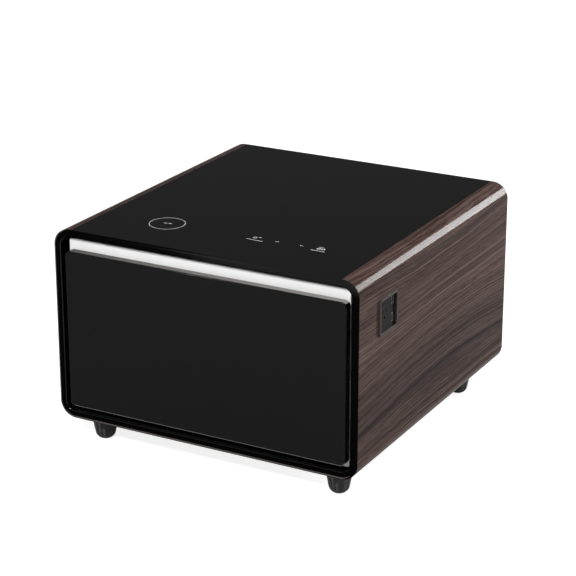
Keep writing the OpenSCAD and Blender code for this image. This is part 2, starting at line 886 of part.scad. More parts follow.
module duct_cover() {
    depth = cold_back - fit - cover_front;
    slot_side = floor((cover_x - 2 * slot_pitch) / slot_pitch);
    color(white_plastic) difference() {
        upright(2 * cover_x, cold_bottom + fit, cold_top - fit, liner_r, cover_front, depth);
        translate([0, cover_t, 0])
            upright(2 * (cover_x - cover_t), cold_bottom + fit + cover_t, cold_top - fit - cover_t,
                    liner_r - cover_t, cover_front, depth);
        for (i = [-slot_side:slot_side])
            translate([i * slot_pitch, cover_front, cold_bottom + slot_pitch])
                cube([slot_w, 3 * cover_t, slot_h], center = true);
        for (i = [0:5]) translate([0, cover_front, evap_fan_z]) rotate([90, 0, 0])
            rotate([0, 0, 60 * i]) translate([evap_fan / 4, 0, 0])
                cube([evap_fan / 4, slot_h, 3 * cover_t], center = true);
    }
}

module light_lens() {
    color([0.95, 0.95, 0.92])
        translate([-lens_w / 2, lens_y - lens_d / 2, cold_top - lens_h])
            cube([lens_w, lens_d, lens_h]);
}

// ---------- fans ----------

// Square frame with a motor cup on four struts; the air runs along Z
module fan_frame(side, depth) {
    bore = side / 2 - 4;
    cup = side / 6;
    color(grey_plastic) difference() {
        union() {
            difference() {
                translate([0, 0, -depth / 2]) linear_extrude(depth) round_rect(side, side, 6);
                cylinder(r = bore, h = depth + 2, center = true);
            }
            for (a = [45:90:315]) rotate([0, 0, a])
                translate([0, -2.5, -depth / 2]) cube([bore + 1, 5, 2.5]);
            translate([0, 0, -depth / 2]) cylinder(r = cup, h = 6);
        }
        translate([0, 0, -depth / 2 + 1]) cylinder(r = shaft_r + running_fit, h = depth);
    }
}

// Rotor with pitched blades, running on its shaft in the frame's cup
module fan_rotor(side, depth, blades) {
    tip = side / 2 - 5.5;
    hub = side / 6;
    h0 = -depth / 2 + 6.4;
    h = depth - 8;
    color(black_gloss) {
        translate([0, 0, h0]) cylinder(r = hub, h = h);
        translate([0, 0, -depth / 2 + 1.4]) cylinder(r = shaft_r, h = 6);
        intersection() {
            translate([0, 0, h0]) cylinder(r = tip, h = h);
            union() for (i = [0:blades - 1]) rotate([0, 0, i * 360 / blades])
                translate([(hub + tip) / 2, 0, h0 + h / 2]) rotate([38, 0, 0])
                    cube([tip - hub + 4, 1.6, 2 * h], center = true);
        }
    }
}

module place_evap_fan() {
    translate([0, evap_fan_y, evap_fan_z]) rotate([90, 0, 0]) children();
}

module evaporator_fan_frame() {
    place_evap_fan() fan_frame(evap_fan, fan_depth);
}

module evaporator_fan() {
    place_evap_fan() fan_rotor(evap_fan, fan_depth, 7);
}

module place_cond_fan() {
    translate([fan_x, fan_y, fan_z]) rotate([0, -90, 0]) children();
}

module condenser_fan_frame() {
    place_cond_fan() fan_frame(cond_fan, fan_depth);
}

module condenser_fan() {
    place_cond_fan() fan_rotor(cond_fan, fan_depth, 7);
}

// ---------- drawer front ----------

module drawer_glass() {
    color(black_glass)
        upright(2 * front_x, front_bottom, front_top, front_r, front_y, front_glass_t);
}

// Cross-section of the handle channel, y measured back from the rear of the glass
module channel_section() {
    polygon([[0, -channel_h], [carrier_t, -channel_h], [carrier_t, 0],
             [groove_floor + 0.5, -groove_depth], [0.5, -groove_depth], [0.5, -0.5], [0, -0.5]]);
}

// Room that the channel takes in the carrier
module channel_room() {
    translate([-channel_x, carrier_y - 1, front_top - channel_h])
        cube([2 * channel_x, carrier_t + 2, channel_h + 1]);
}

module drawer_carrier() {
    color(black_gloss) difference() {
        upright(2 * front_x, front_bottom, front_top, front_r, carrier_y, carrier_t);
        channel_room();
    }
}

module handle_channel() {
    color(grey_metal) intersection() {
        upright(2 * front_x, front_bottom, front_top, front_r, carrier_y, carrier_t);
        translate([-channel_x, carrier_y, front_top])
            rotate([90, 0, 90]) linear_extrude(2 * channel_x) channel_section();
    }
}

// Flat plate with a chamfer all round its front edge
module silver_plate() {
    color(silver) translate([0, plate_y, plate_mid]) rotate([-90, 0, 0]) {
        swept_ring(2 * front_x, plate_h, plate_r)
            polygon([[0, 0], [plate_r - plate_chamfer, 0], [plate_r, plate_chamfer],
                     [plate_r, plate_t], [0, plate_t]]);
        translate([0, 0, plate_t / 2])
            cube([2 * (front_x - plate_r), plate_h - 2 * plate_r, plate_t], center = true);
    }
}

module door_core() {
    color(foam_colour) {
        upright(2 * panel_x, panel_bottom, panel_top, 8, core_y, core_t);
        upright(2 * (plug_x - door_skin), plug_bottom + door_skin, plug_top - door_skin, 10,
                door_base_y, door_skin + plug_h - door_skin);
    }
}

module door_panel() {
    color(white_plastic) difference() {
        union() {
            upright(2 * panel_x, panel_bottom, panel_top, 8, door_base_y, door_skin);
            upright(2 * plug_x, plug_bottom, plug_top, 12, door_base_y, door_skin + plug_h);
        }
        upright(2 * (plug_x - door_skin), plug_bottom + door_skin, plug_top - door_skin, 10,
                door_base_y - 1, 1 + plug_h);
    }
}

module door_gasket() {
    inner_w = 2 * seal_in_x;
    inner_h = seal_in_top - seal_in_bottom;
    z = (seal_in_top + seal_in_bottom) / 2;
    color(grey_plastic) {
        translate([0, plug_front, z]) facing_front(3) difference() {
            round_rect(inner_w + 2 * gasket_w, inner_h + 2 * gasket_w, 10 + gasket_w);
            round_rect(inner_w, inner_h, 10);
        }
        translate([0, plug_front + 3, z]) facing_front(gasket_t - 3) difference() {
            round_rect(inner_w + 2 * gasket_w - 4, inner_h + 2 * gasket_w - 4, 8 + gasket_w);
            round_rect(inner_w + 4, inner_h + 4, 12);
        }
    }
}

// ---------- bin and rails ----------

module drawer_bin() {
    length = bin_l;
    centre = plug_back + length / 2;
    color(white_plastic) difference() {
        union() {
            translate([0, centre, bin_z]) linear_extrude(bin_h)
                round_rect(2 * bin_x, length, bin_r);
            translate([0, centre, bin_z + bin_h - bin_rim_h]) linear_extrude(bin_rim_h)
                round_rect(2 * (bin_x + bin_rim_w), length, bin_r);
        }
        translate([0, centre, bin_z + bin_t]) linear_extrude(bin_h)
            round_rect(2 * (bin_x - bin_t), length - 2 * bin_t, bin_r - bin_t);
    }
}

module bin_divider() {
    y0 = plug_back + bin_t + fit;
    y1 = plug_back + bin_l - bin_t - fit;
    color(grey_plastic) difference() {
        block([divider_x - divider_t / 2, y0, bin_z + bin_t],
              [divider_x + divider_t / 2, y1, bin_z + bin_t + divider_h]);
        translate([divider_x - 2 * divider_t, (y0 + y1) / 2,
                   bin_z + bin_t + divider_h - grip_top - grip_h / 2])
            facing_side(4 * divider_t) round_rect(grip_w, grip_h, grip_h / 2 - 1);
    }
}

// Sections of the right-hand rail: x counts from the liner's wall, y from the rail's centre
module rail_outer_section() {
    h = rail_h / 2;
    s = rail_sheet;
    d = rail_deep;
    polygon([[0, -h], [d, -h], [d, -h + s + rail_lip], [d - s, -h + s + rail_lip],
             [d - s, -h + s], [s, -h + s], [s, h - s], [d - s, h - s],
             [d - s, h - s - rail_lip], [d, h - s - rail_lip], [d, h], [0, h]]);
}

module rail_middle_section() {
    g = rail_gap;
    s = rail_sheet;
    h = rail_h / 2 - s - g;
    x0 = s + g;
    x1 = rail_deep - s - g;
    polygon([[x0, -h], [x1, -h], [x1, -h + s + rail_lip], [x1 - s, -h + s + rail_lip],
             [x1 - s, -h + s], [x0 + s, -h + s], [x0 + s, h - s], [x1 - s, h - s],
             [x1 - s, h - s - rail_lip], [x1, h - s - rail_lip], [x1, h], [x0, h]]);
}

module rail_inner_section() {
    g = rail_gap;
    s = rail_sheet;
    foot = rail_h / 2 - 2 * s - 2 * g;
    leg = foot - s - rail_lip - 2;
    x1 = rail_deep - 2 * s - 2 * g;
    half = [[rail_t, leg + s], [x1, leg + s], [x1, foot], [x1 - s, foot], [x1 - s, leg],
            [rail_t - s, leg]];
    polygon(concat(half, [for (i = [5:-1:0]) [half[i].x, -half[i].y]]));
}

module rail_at(side) {
    mirror([side < 0 ? 1 : 0, 0, 0]) translate([liner_x, rail_y, rail_z])
        mirror([1, 0, 0]) facing_front(rail_l) children();
}

module rail_outer_left() {
    color(zinc) rail_at(-1) rail_outer_section();
}

module rail_outer_right() {
    color(zinc) rail_at(1) rail_outer_section();
}

module rail_middle_left() {
    color(zinc) rail_at(-1) rail_middle_section();
}

module rail_middle_right() {
    color(zinc) rail_at(1) rail_middle_section();
}

module rail_inner_left() {
    color(zinc) rail_at(-1) rail_inner_section();
}

module rail_inner_right() {
    color(zinc) rail_at(1) rail_inner_section();
}

// ---------- machine bay ----------

// Welded can on a steel foot plate with four ears
module compressor() {
    color(black_gloss) translate([comp_x, bay_mid, comp_z]) {
        rotate_extrude() {
            square([comp_r, comp_h - comp_round]);
            square([comp_r - comp_round, comp_h]);
            intersection() {
                translate([comp_r - comp_round, comp_h - comp_round]) circle(comp_round);
                square([comp_r, comp_h]);
            }
        }
        translate([0, 0, comp_seam_z]) cylinder(r = comp_r + 2, h = 6);
        translate([0, 0, -comp_plate_t]) linear_extrude(comp_plate_t) difference() {
            round_rect(2 * (comp_foot_x + comp_plate_rim), 2 * (comp_foot_y + comp_plate_rim), 12);
            for (x = [-1, 1], y = [-1, 1])
                translate([x * comp_foot_x, y * comp_foot_y]) circle(4 + screw_fit);
        }
    }
}

module compressor_mounts() {
    color(grey_plastic) for (x = [-1, 1], y = [-1, 1])
        translate([comp_x + x * comp_foot_x, bay_mid + y * comp_foot_y, in_bottom]) {
            cylinder(r = mount_r, h = mount_h);
            cylinder(r = 4, h = mount_h + 6);
        }
}

module relay_cover() {
    relay_t = 30;
    relay_w = 44;
    color(grey_plastic) difference() {
        translate([comp_x + comp_r - 4, bay_mid - relay_w / 2, comp_z + 4])
            cube([relay_t, relay_w, comp_seam_z - 8]);
        translate([comp_x, bay_mid, comp_z]) cylinder(r = comp_r + fit, h = comp_h);
    }
}

module discharge_pipe() {
    start_y = bay_mid + comp_r - comp_round - 10;
    color(copper) pipe([[comp_x, start_y, comp_z + comp_h], [comp_x, start_y, cond_z1],
                        [comp_x, cond_y, cond_z1], [cond_x - cond_turn_room, cond_y, cond_z1]],
                       tube_r, bend_r);
}

module suction_pipe() {
    lane = bay_y + suction_r + 8;
    color(copper) pipe([[evap_end, cold_back, evap_z0], [evap_end, lane, evap_z0],
                        [comp_x, lane, evap_z0], [comp_x, bay_mid - comp_r - fit, evap_z0]],
                       suction_r, 6);
}

// Fins on a tube that goes to and fro, with end plates that stand on the base board
module condenser() {
    fin_gap = (cond_w - cond_fin_t) / (cond_fins - 1);
    turn = cond_pitch / 2;
    left = cond_x - cond_turn_room;
    right = cond_end + 2;
    z1 = cond_z1 + cond_fins_above;
    color(black_gloss) {
        for (i = [1:cond_fins - 2])
            translate([cond_x + i * fin_gap, cond_y - cond_d / 2, cond_z0 - cond_fins_below])
                cube([cond_fin_t, cond_d, z1 - cond_z0 + cond_fins_below]);
        for (x = [cond_x, cond_end - cond_fin_t]) translate([x, cond_y - cond_d / 2, in_bottom])
            cube([cond_fin_t, cond_d, z1 - in_bottom]);
        for (i = [0:cond_rows - 1])
            translate([i == cond_rows - 1 ? left : cond_x - 2, cond_y, cond_z0 + i * cond_pitch])
                rotate([0, 90, 0]) cylinder(r = tube_r, h = right
                    - (i == cond_rows - 1 ? left : cond_x - 2));
        for (i = [0:cond_rows - 2])
            translate([i % 2 == 0 ? cond_x - 2 : right, cond_y, cond_z0 + (i + 0.5) * cond_pitch])
                rotate([90, 0, i % 2 == 0 ? 180 : 0]) rotate([0, 0, -90])
                    rotate_extrude(angle = 180) translate([turn, 0]) circle(tube_r, $fn = 24);
        pipe([[right, cond_y, cond_z0], [cond_out_x, cond_y, cond_z0],
              [cond_out_x, dryer_y, cond_z0], [cond_out_x, dryer_y, dryer_z]], tube_r, bend_r);
    }
}

module filter_dryer() {
    color(copper) translate([cond_out_x, dryer_y, dryer_z]) rotate_extrude() {
        translate([0, 3]) square([dryer_r, dryer_l - 6]);
        square([dryer_r - 3, dryer_l]);
        for (z = [3, dryer_l - 3]) intersection() {
            translate([dryer_r - 3, z]) circle(3);
            square([dryer_r, dryer_l]);
        }
    }
}

module capillary_tube() {
    top = dryer_z + dryer_l;
    bend_z = top + capillary_rise;
    color(copper) pipe([[cond_out_x, dryer_y, top], [cond_out_x, dryer_y, bend_z],
                        [evap_end, dryer_y, bend_z], [evap_end, dryer_y, evap_top_row],
                        [evap_end, cold_back, evap_top_row]], capillary_r, 5);
}

module drip_tray() {
    wall = 2;
    gap = 4;
    tray_h = cond_up / 2;
    a = [cond_x + gap, cond_y - cond_d / 2 - 14, in_bottom];
    b = [cond_end - gap, back_inner - wall, in_bottom + tray_h];
    color(white_plastic) difference() {
        block(a, b);
        block(a + [wall, wall, wall], b + [-wall, -wall, wall]);
    }
}

module control_box() {
    color(grey_plastic) translate([box_x - box_w / 2, bay_y, box_z - box_h / 2]) {
        difference() {
            cube([box_w, box_d, box_h]);
            translate([box_t, box_t, box_t])
                cube([box_w - 2 * box_t, box_d, box_h - 2 * box_t]);
        }
        for (x = [boss_in, box_w - boss_in], z = [boss_in, box_h - boss_in])
            translate([x, box_t - eps, z]) rotate([-90, 0, 0]) cylinder(r = 3, h = boss_h + eps);
    }
}

// Board with its transformer, relay, connector strip and capacitors
module control_board() {
    rim = box_t + 2;
    transformer = [34, 20, 30];
    relay = [16, 14, 22];
    strip = [12, 10, 60];
    capacitor_r = 7;
    capacitor_h = 20;
    color(board_green) translate([box_x, bay_y + box_t + boss_h, box_z]) {
        translate([rim - box_w / 2, 0, rim - box_h / 2])
            cube([box_w - 2 * rim, pcb_t, box_h - 2 * rim]);
        translate([-transformer.x - 17, pcb_t, 2]) cube(transformer);
        translate([-3, pcb_t, 10]) cube(relay);
        translate([25, pcb_t, -strip.z + 18]) cube(strip);
        for (i = [-1:1]) translate([(3 * i - 3) * capacitor_r, pcb_t, -26]) rotate([-90, 0, 0])
            cylinder(r = capacitor_r, h = capacitor_h);
    }
}

// Recessed appliance inlet with its three blades
module power_inlet() {
    floor_t = 6;
    flange = [inlet_w + 16, inlet_h + 8];
    blade = [2, 4];
    blade_l = 14;
    color(black_gloss) translate([inlet_x, back_inner, inlet_z]) {
        difference() {
            union() {
                translate([0, -inlet_d, 0]) facing_front(inlet_d + back_t)
                    square([inlet_w, inlet_h], center = true);
                translate([0, -inlet_wall - fit, 0]) facing_front(inlet_wall)
                    square(flange, center = true);
            }
            translate([0, floor_t - inlet_d, 0]) facing_front(inlet_d + back_t)
                square([inlet_w - 2 * inlet_wall, inlet_h - 2 * inlet_wall], center = true);
        }
        for (i = [-1:1]) translate([i * inlet_w / 4, floor_t - inlet_d - cut, i == 0 ? 4.5 : 0])
            facing_front(blade_l) square(blade, center = true);
    }
}

side_panel_left();
side_panel_right();
top_board();
top_glass();
base_board();
back_panel();
front_bezel();
foot_front_left();
foot_front_right();
foot_rear_left();
foot_rear_right();
foot_studs();
back_screws();
outlet_frame();
mains_socket();
usb_ports();
touch_board();
charger_board();
charging_coil();
control_box();
control_board();
power_inlet();
inner_liner();
foam_top();
foam_bottom();
foam_left();
foam_right();
foam_rear();
partition();
evaporator();
duct_cover();
evaporator_fan_frame();
evaporator_fan();
light_lens();
drawer_glass();
drawer_carrier();
handle_channel();
silver_plate();
door_core();
door_panel();
door_gasket();
drawer_bin();
bin_divider();
rail_outer_left();
rail_outer_right();
rail_middle_left();
rail_middle_right();
rail_inner_left();
rail_inner_right();
compressor();
compressor_mounts();
relay_cover();
discharge_pipe();
suction_pipe();
condenser();
condenser_fan_frame();
condenser_fan();
filter_dryer();
capillary_tube();
drip_tray();
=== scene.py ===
import math

import bmesh
import bpy
from mathutils import Matrix, Quaternion, Vector


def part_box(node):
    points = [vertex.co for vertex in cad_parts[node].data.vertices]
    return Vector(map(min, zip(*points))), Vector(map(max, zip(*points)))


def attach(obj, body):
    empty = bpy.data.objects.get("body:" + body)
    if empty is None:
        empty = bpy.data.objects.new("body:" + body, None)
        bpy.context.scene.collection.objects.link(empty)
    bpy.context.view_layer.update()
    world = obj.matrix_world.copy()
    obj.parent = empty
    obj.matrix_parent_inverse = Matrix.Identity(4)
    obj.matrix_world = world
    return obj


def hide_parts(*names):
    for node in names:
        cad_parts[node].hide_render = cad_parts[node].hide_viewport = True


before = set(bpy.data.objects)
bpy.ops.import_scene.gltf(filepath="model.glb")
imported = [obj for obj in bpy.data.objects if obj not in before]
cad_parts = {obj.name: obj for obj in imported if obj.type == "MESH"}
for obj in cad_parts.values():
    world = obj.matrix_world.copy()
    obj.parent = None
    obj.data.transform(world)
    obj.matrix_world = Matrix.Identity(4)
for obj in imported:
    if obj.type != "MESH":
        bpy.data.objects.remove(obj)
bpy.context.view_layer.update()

# ---- Camera and studio ------------------------------------------------------------------
# The camera looks down on the front right corner, as the photograph does. The studio is a pale
# floor that keeps the cabinet's shadow, a low pale wall far round it, and soft lamps.

MM = 0.001
scene = bpy.context.scene
scene.view_settings.view_transform = "Standard"


def put_in_scene(name, data):
    """New object in the scene for a mesh, a lamp or a camera."""
    made = bpy.data.objects.new(name, data)
    scene.collection.objects.link(made)
    return made


camera = put_in_scene("camera", bpy.data.cameras.new("camera"))
camera.location = (1.6404, -3.0172, 1.5017)
camera.rotation_mode = "QUATERNION"
camera.rotation_quaternion = Vector((-0.449, 0.8253, -0.3427)).to_track_quat("-Z", "Y")
camera.data.sensor_width = 36
camera.data.lens = 123.94
camera.data.clip_start = 0.05
camera.data.clip_end = 200
scene.camera = camera


def add(tree, kind, settings=None, inputs=None):
    """Places a node, sets it up, and links or fills its sockets."""
    made = tree.nodes.new(kind)
    for key, value in (settings or {}).items():
        setattr(made, key, value)
    for key, value in (inputs or {}).items():
        if isinstance(value, bpy.types.NodeSocket):
            tree.links.new(value, made.inputs[key])
        else:
            made.inputs[key].default_value = value
    return made


def empty_material(name):
    """A material with nothing but its output."""
    made = bpy.data.materials.new(name)
    made.use_nodes = True
    made.node_tree.nodes.clear()
    return made, made.node_tree, made.node_tree.nodes.new("ShaderNodeOutputMaterial")


def math_node(tree, operation, a, b=0.0):
    return add(tree, "ShaderNodeMath", {"operation": operation}, {0: a, 1: b}).outputs[0]


def split(tree, vector):
    """The X, Y and Z of a vector, by name."""
    return add(tree, "ShaderNodeSeparateXYZ", None, {0: vector}).outputs


def seen_directly(tree, mirrored):
    """1 for camera rays, a share of it for glossy and transmission rays, else 0."""
    path = add(tree, "ShaderNodeLightPath").outputs
    through = math_node(tree, "MAXIMUM", path["Is Glossy Ray"], path["Is Transmission Ray"])
    return math_node(tree, "MAXIMUM", path["Is Camera Ray"],
                     math_node(tree, "MULTIPLY", through, mirrored))


def studio_paper(name, glow, mirrored, paper):
    """Pale paper that glows a little where it is seen, and takes shadows."""
    made, tree, out = empty_material(name)
    light = add(tree, "ShaderNodeEmission", None,
                {"Color": (1, 1, 1, 1),
                 "Strength": math_node(tree, "MULTIPLY", seen_directly(tree, mirrored), glow)})
    matte = add(tree, "ShaderNodeBsdfDiffuse", None, {"Color": (paper, paper, paper, 1)})
    both = add(tree, "ShaderNodeAddShader", None, {0: light.outputs[0], 1: matte.outputs[0]})
    tree.links.new(both.outputs[0], out.inputs["Surface"])
    return made


def mesh_of(bm, name):
    """Turns a bmesh into a mesh and frees it."""
    mesh = bpy.data.meshes.new(name)
    bm.to_mesh(mesh)
    bm.free()
    return mesh


studio_radius, wall_height, studio_sides = 30.0, 5.6, 96
floor_bm = bmesh.new()
bmesh.ops.create_circle(floor_bm, cap_ends=True, segments=studio_sides, radius=studio_radius)
wall_bm = bmesh.new()
bmesh.ops.create_cone(wall_bm, cap_ends=False, segments=studio_sides, radius1=studio_radius,
                      radius2=studio_radius, depth=wall_height)
bmesh.ops.translate(wall_bm, vec=(0, 0, wall_height / 2), verts=wall_bm.verts)
bmesh.ops.reverse_faces(wall_bm, faces=wall_bm.faces)
for stage_name, stage_bm, glow, mirrored, paper in (("floor", floor_bm, 0.84, 0.17, 0.50),
                                                    ("wall", wall_bm, 1.0, 0.25, 0.3)):
    stage_mesh = mesh_of(stage_bm, stage_name)
    stage_mesh.materials.append(studio_paper(stage_name + " paper", glow, mirrored, paper))
    stage_piece = put_in_scene(stage_name, stage_mesh)


def ramp(tree, value, *stops):
    """Colour ramp; each stop is a position and a grey or a colour."""
    made = add(tree, "ShaderNodeValToRGB", None, {0: value})
    band = made.color_ramp
    while len(band.elements) < len(stops):
        band.elements.new(0.5)
    for element, (position, shade) in zip(band.elements, stops):
        element.position = position
        element.color = (*shade, 1) if isinstance(shade, tuple) else (shade, shade, shade, 1)
    return made.outputs["Color"]


# Room light: dim at eye level, brighter overhead
world = bpy.data.worlds.new("room")
scene.world = world
world.use_nodes = True
room = world.node_tree
room.nodes.clear()
height = split(room, add(room, "ShaderNodeTexCoord").outputs["Generated"])["Z"]
sky = add(room, "ShaderNodeBackground", None,
          {"Color": ramp(room, height, (0.42, 0.10), (0.85, 0.55))})
room.links.new(sky.outputs[0], add(room, "ShaderNodeOutputWorld").inputs["Surface"])


def lamp(name, place, aim, width, height, watts, roll=0.0):
    """Soft lamp: a lit rectangle at a place, turned to a point, and itself not in the picture."""
    data = bpy.data.lights.new(name, "AREA")
    data.shape = "RECTANGLE"
    data.size = width
    data.size_y = height
    data.energy = watts
    made = put_in_scene(name, data)
    made.location = place
    made.rotation_mode = "QUATERNION"
    facing = (Vector(aim) - Vector(place)).to_track_quat("-Z", "Y")
    made.rotation_quaternion = facing @ Quaternion((0, 0, 1), math.radians(roll))
    made.visible_camera = False
    return made


# Each lamp: its place, what it is turned to, width and height in metres, and watts
centre = (0, 0, 0.23)
lamp("front lamp", (0.35, -2.8, 2.1), centre, 0.5, 0.25, 72)
lamp("right lamp", (3.6, -0.2, 1.35), centre, 1.8, 1.2, 46)
edge_lamp = lamp("edge lamp", (2.326, 4.089, 1.545), (0.566, -0.061, 0.205), 1.0, 1.71, 180,
                 roll=-26)
lamp("left lamp", (-1.40, -2.78, 0.50), (0, 0, 0.1), 0.08, 0.9, 16)


# ---- Wood sides -------------------------------------------------------------------------
# Each side is a 12 mm board wrapped in dark walnut laminate, bent round the top and bottom
# edges in one piece. The right one has a square cut-out for the socket unit.

shell_low = Vector((-300, -310, 52)) * MM
shell_high = Vector((300, 312.5, 410)) * MM
shell_r = 30.5 * MM
wood_t = 12 * MM
eased = 0.4 * MM
seam_x = 266 * MM
socket_cut = ((-234 * MM, -174 * MM), (292 * MM, 352 * MM))
print_start = (0.9, 0.4)


def group(name, inputs, outputs):
    """An empty shader group with named sockets: its tree, its inputs and its output node."""
    tree = bpy.data.node_groups.new(name, "ShaderNodeTree")
    for way, sockets in (("INPUT", inputs), ("OUTPUT", outputs)):
        for label, kind in sockets:
            tree.interface.new_socket(label, in_out=way, socket_type="NodeSocket" + kind)
    return tree, tree.nodes.new("NodeGroupInput").outputs, tree.nodes.new("NodeGroupOutput")


def stretched_noise(tree, place, scale, detail, roughness=0.55):
    """Noise read at a place whose three directions are scaled one by one."""
    moved = add(tree, "ShaderNodeVectorMath", {"operation": "MULTIPLY"}, {0: place, 1: scale})
    return add(tree, "ShaderNodeTexNoise", None,
               {"Vector": moved.outputs[0], "Scale": 1.0, "Detail": detail,
                "Roughness": roughness}).outputs["Fac"]


def mixed(tree, share, a, b, blend="MIX"):
    made = add(tree, "ShaderNodeMix", {"data_type": "RGBA", "blend_type": blend})
    for socket, value in ((made.inputs[0], share), (made.inputs[6], a), (made.inputs[7], b)):
        if isinstance(value, bpy.types.NodeSocket):
            tree.links.new(value, socket)
        else:
            socket.default_value = (*value, 1) if isinstance(value, tuple) else value
    return made.outputs[2]


def joined(tree, x, y, z):
    return add(tree, "ShaderNodeCombineXYZ", None, {0: x, 1: y, 2: z}).outputs[0]


def times(tree, colour, number):
    """Colour multiplied by a number."""
    return mixed(tree, 1.0, colour, joined(tree, number, number, number), "MULTIPLY")


def about_zero(tree, noise, size):
    """Noise moved from the middle of its range to zero, and scaled."""
    return math_node(tree, "MULTIPLY", math_node(tree, "SUBTRACT", noise, 0.5), size)


# Wood figure: X runs along the grain, Y across it
figure, figure_in, figure_out = group(
    "wood figure",
    [("Place", "Vector"), ("Dark", "Color"), ("Middle", "Color"), ("Light", "Color")],
    [("Color", "Color"), ("Height", "Float"), ("Streak", "Float")])
drift = stretched_noise(figure, figure_in["Place"], (1.5, 3.0, 1), 2)
drift_fine = stretched_noise(figure, figure_in["Place"], (6.0, 20.0, 1), 2)
shift = math_node(figure, "ADD", about_zero(figure, drift, 0.018),
                  about_zero(figure, drift_fine, 0.009))
parts = split(figure, figure_in["Place"])
bent = joined(figure, parts["X"], math_node(figure, "ADD", parts["Y"], shift), parts["Z"])
bands = stretched_noise(figure, bent, (0.5, 26, 1), 2, 0.6)
streaks = stretched_noise(figure, bent, (0.7, 120, 1), 3, 0.6)
hairs = stretched_noise(figure, bent, (1.5, 330, 1), 2, 0.6)
fibres = stretched_noise(figure, bent, (26.0, 800, 1), 2, 0.6)
veins = ramp(figure, stretched_noise(figure, bent, (0.7, 85, 4), 1, 0.5),
             (0.45, 0.0), (0.47, 1.0), (0.49, 0.0))
# Lines of four widths, each with its share of the tone
tone = 0.5
for noise, share in ((bands, 0.40), (streaks, 0.60), (hairs, 1.15), (fibres, 0.70)):
    tone = math_node(figure, "ADD", tone, about_zero(figure, noise, share))
low_half = ramp(figure, tone, (0.36, 0.0), (0.51, 1.0))
high_half = ramp(figure, tone, (0.49, 0.0), (0.64, 1.0))
body_colour = mixed(figure, low_half, figure_in["Dark"], figure_in["Middle"])
body_colour = mixed(figure, high_half, body_colour, figure_in["Light"])
body_colour = mixed(figure, math_node(figure, "MULTIPLY", veins, 0.70), body_colour,
                    figure_in["Dark"])
figure.links.new(body_colour, figure_out.inputs["Color"])
figure.links.new(math_node(figure, "ADD", math_node(figure, "MULTIPLY", fibres, 0.6), hairs),
                 figure_out.inputs["Height"])
figure.links.new(streaks, figure_out.inputs["Streak"])


def shaded(name, **sockets):
    """Material with one Principled shader; the sockets hold what is the same all over."""
    made, tree, out = empty_material(name)
    shader = add(tree, "ShaderNodeBsdfPrincipled")
    tree.links.new(shader.outputs[0], out.inputs["Surface"])
    for key, value in sockets.items():
        shader.inputs[key.replace("_", " ")].default_value = value
    return made, tree, shader


def bump(tree, shader, height, strength, distance):
    made = add(tree, "ShaderNodeBump", None,
               {"Height": height, "Strength": strength, "Distance": distance})
    tree.links.new(made.outputs[0], shader.inputs["Normal"])


def use_group(tree, made, inputs):
    return add(tree, "ShaderNodeGroup", {"node_tree": made}, inputs).outputs


def swell(tree, value, centre, width):
    """Smooth hump: 1 at the centre, 0 beyond the width."""
    away = math_node(tree, "ABSOLUTE", math_node(tree, "SUBTRACT", value, centre))
    return add(tree, "ShaderNodeMapRange", {"interpolation_type": "SMOOTHERSTEP"},
               {"Value": away, "From Min": 0.0, "From Max": width, "To Min": 1.0,
                "To Max": 0.0}).outputs[0]


# The veneer print: its lines rise in a long low arch, and darker zones run along the side
laminate, tree, shader = shaded("walnut laminate", Specular_IOR_Level=0.03)
spot = split(tree, add(tree, "ShaderNodeUVMap", {"uv_map": "grain"}).outputs[0])
arch_high, arch_middle, arch_half = 0.022, 0.92, 0.46
bulge = math_node(tree, "SUBTRACT", swell(tree, spot["Y"], 0.63, 0.14),
                  math_node(tree, "MULTIPLY", 0.5, swell(tree, spot["Y"], 0.45, 0.07)))
arch = math_node(tree, "MULTIPLY", swell(tree, spot["X"], arch_middle, arch_half),
                 math_node(tree, "MULTIPLY", arch_high, bulge))
level = math_node(tree, "ADD", spot["Y"], arch)
lines = joined(tree, spot["X"], level, 0.0)
grain = use_group(tree, figure, {"Place": lines, "Dark": (0.038, 0.021, 0.018, 1),
                                 "Middle": (0.080, 0.050, 0.044, 1),
                                 "Light": (0.123, 0.081, 0.072, 1)})
# Each darker zone: where its middle lies round the section, its half width and its strength
zone_depth = 0.42
dark_zone = swell(tree, level, 0.668, 0.086)
for zone_level, zone_width, amount in ((0.442, 0.013, 1.0), (0.500, 0.022, 0.7),
                                       (0.534, 0.010, 0.5), (0.594, 0.014, 0.9),
                                       (0.698, 0.013, 0.9), (0.734, 0.009, 1.2)):
    dark_zone = math_node(tree, "ADD", dark_zone,
                          math_node(tree, "MULTIPLY", amount,
                                    swell(tree, level, zone_level, zone_width)))
zone_shade = math_node(tree, "SUBTRACT", 1.0,
                       math_node(tree, "MULTIPLY", dark_zone, zone_depth))
tree.links.new(times(tree, grain["Color"], zone_shade), shader.inputs["Base Color"])
tree.links.new(ramp(tree, grain["Streak"], (0.3, 0.10), (0.7, 0.15)), shader.inputs["Roughness"])
bump(tree, shader, grain["Height"], 0.06, 0.0001)


def object_place(tree):
    return add(tree, "ShaderNodeTexCoord").outputs["Object"]


edge_band, tree, shader = shaded("wood edge band", Specular_IOR_Level=0.3)
grain = use_group(tree, figure, {"Place": object_place(tree), "Dark": (0.022, 0.015, 0.014, 1),
                                 "Middle": (0.040, 0.027, 0.025, 1),
                                 "Light": (0.060, 0.042, 0.038, 1)})
tree.links.new(grain["Color"], shader.inputs["Base Color"])
tree.links.new(ramp(tree, grain["Streak"], (0.3, 0.4), (0.7, 0.55)), shader.inputs["Roughness"])


def block(low, high):
    """Box between two corners."""
    bm = bmesh.new()
    bmesh.ops.create_cube(bm, size=1)
    low, high = Vector(low), Vector(high)
    bmesh.ops.scale(bm, vec=high - low, verts=bm.verts)
    bmesh.ops.translate(bm, vec=(low + high) / 2, verts=bm.verts)
    return bm


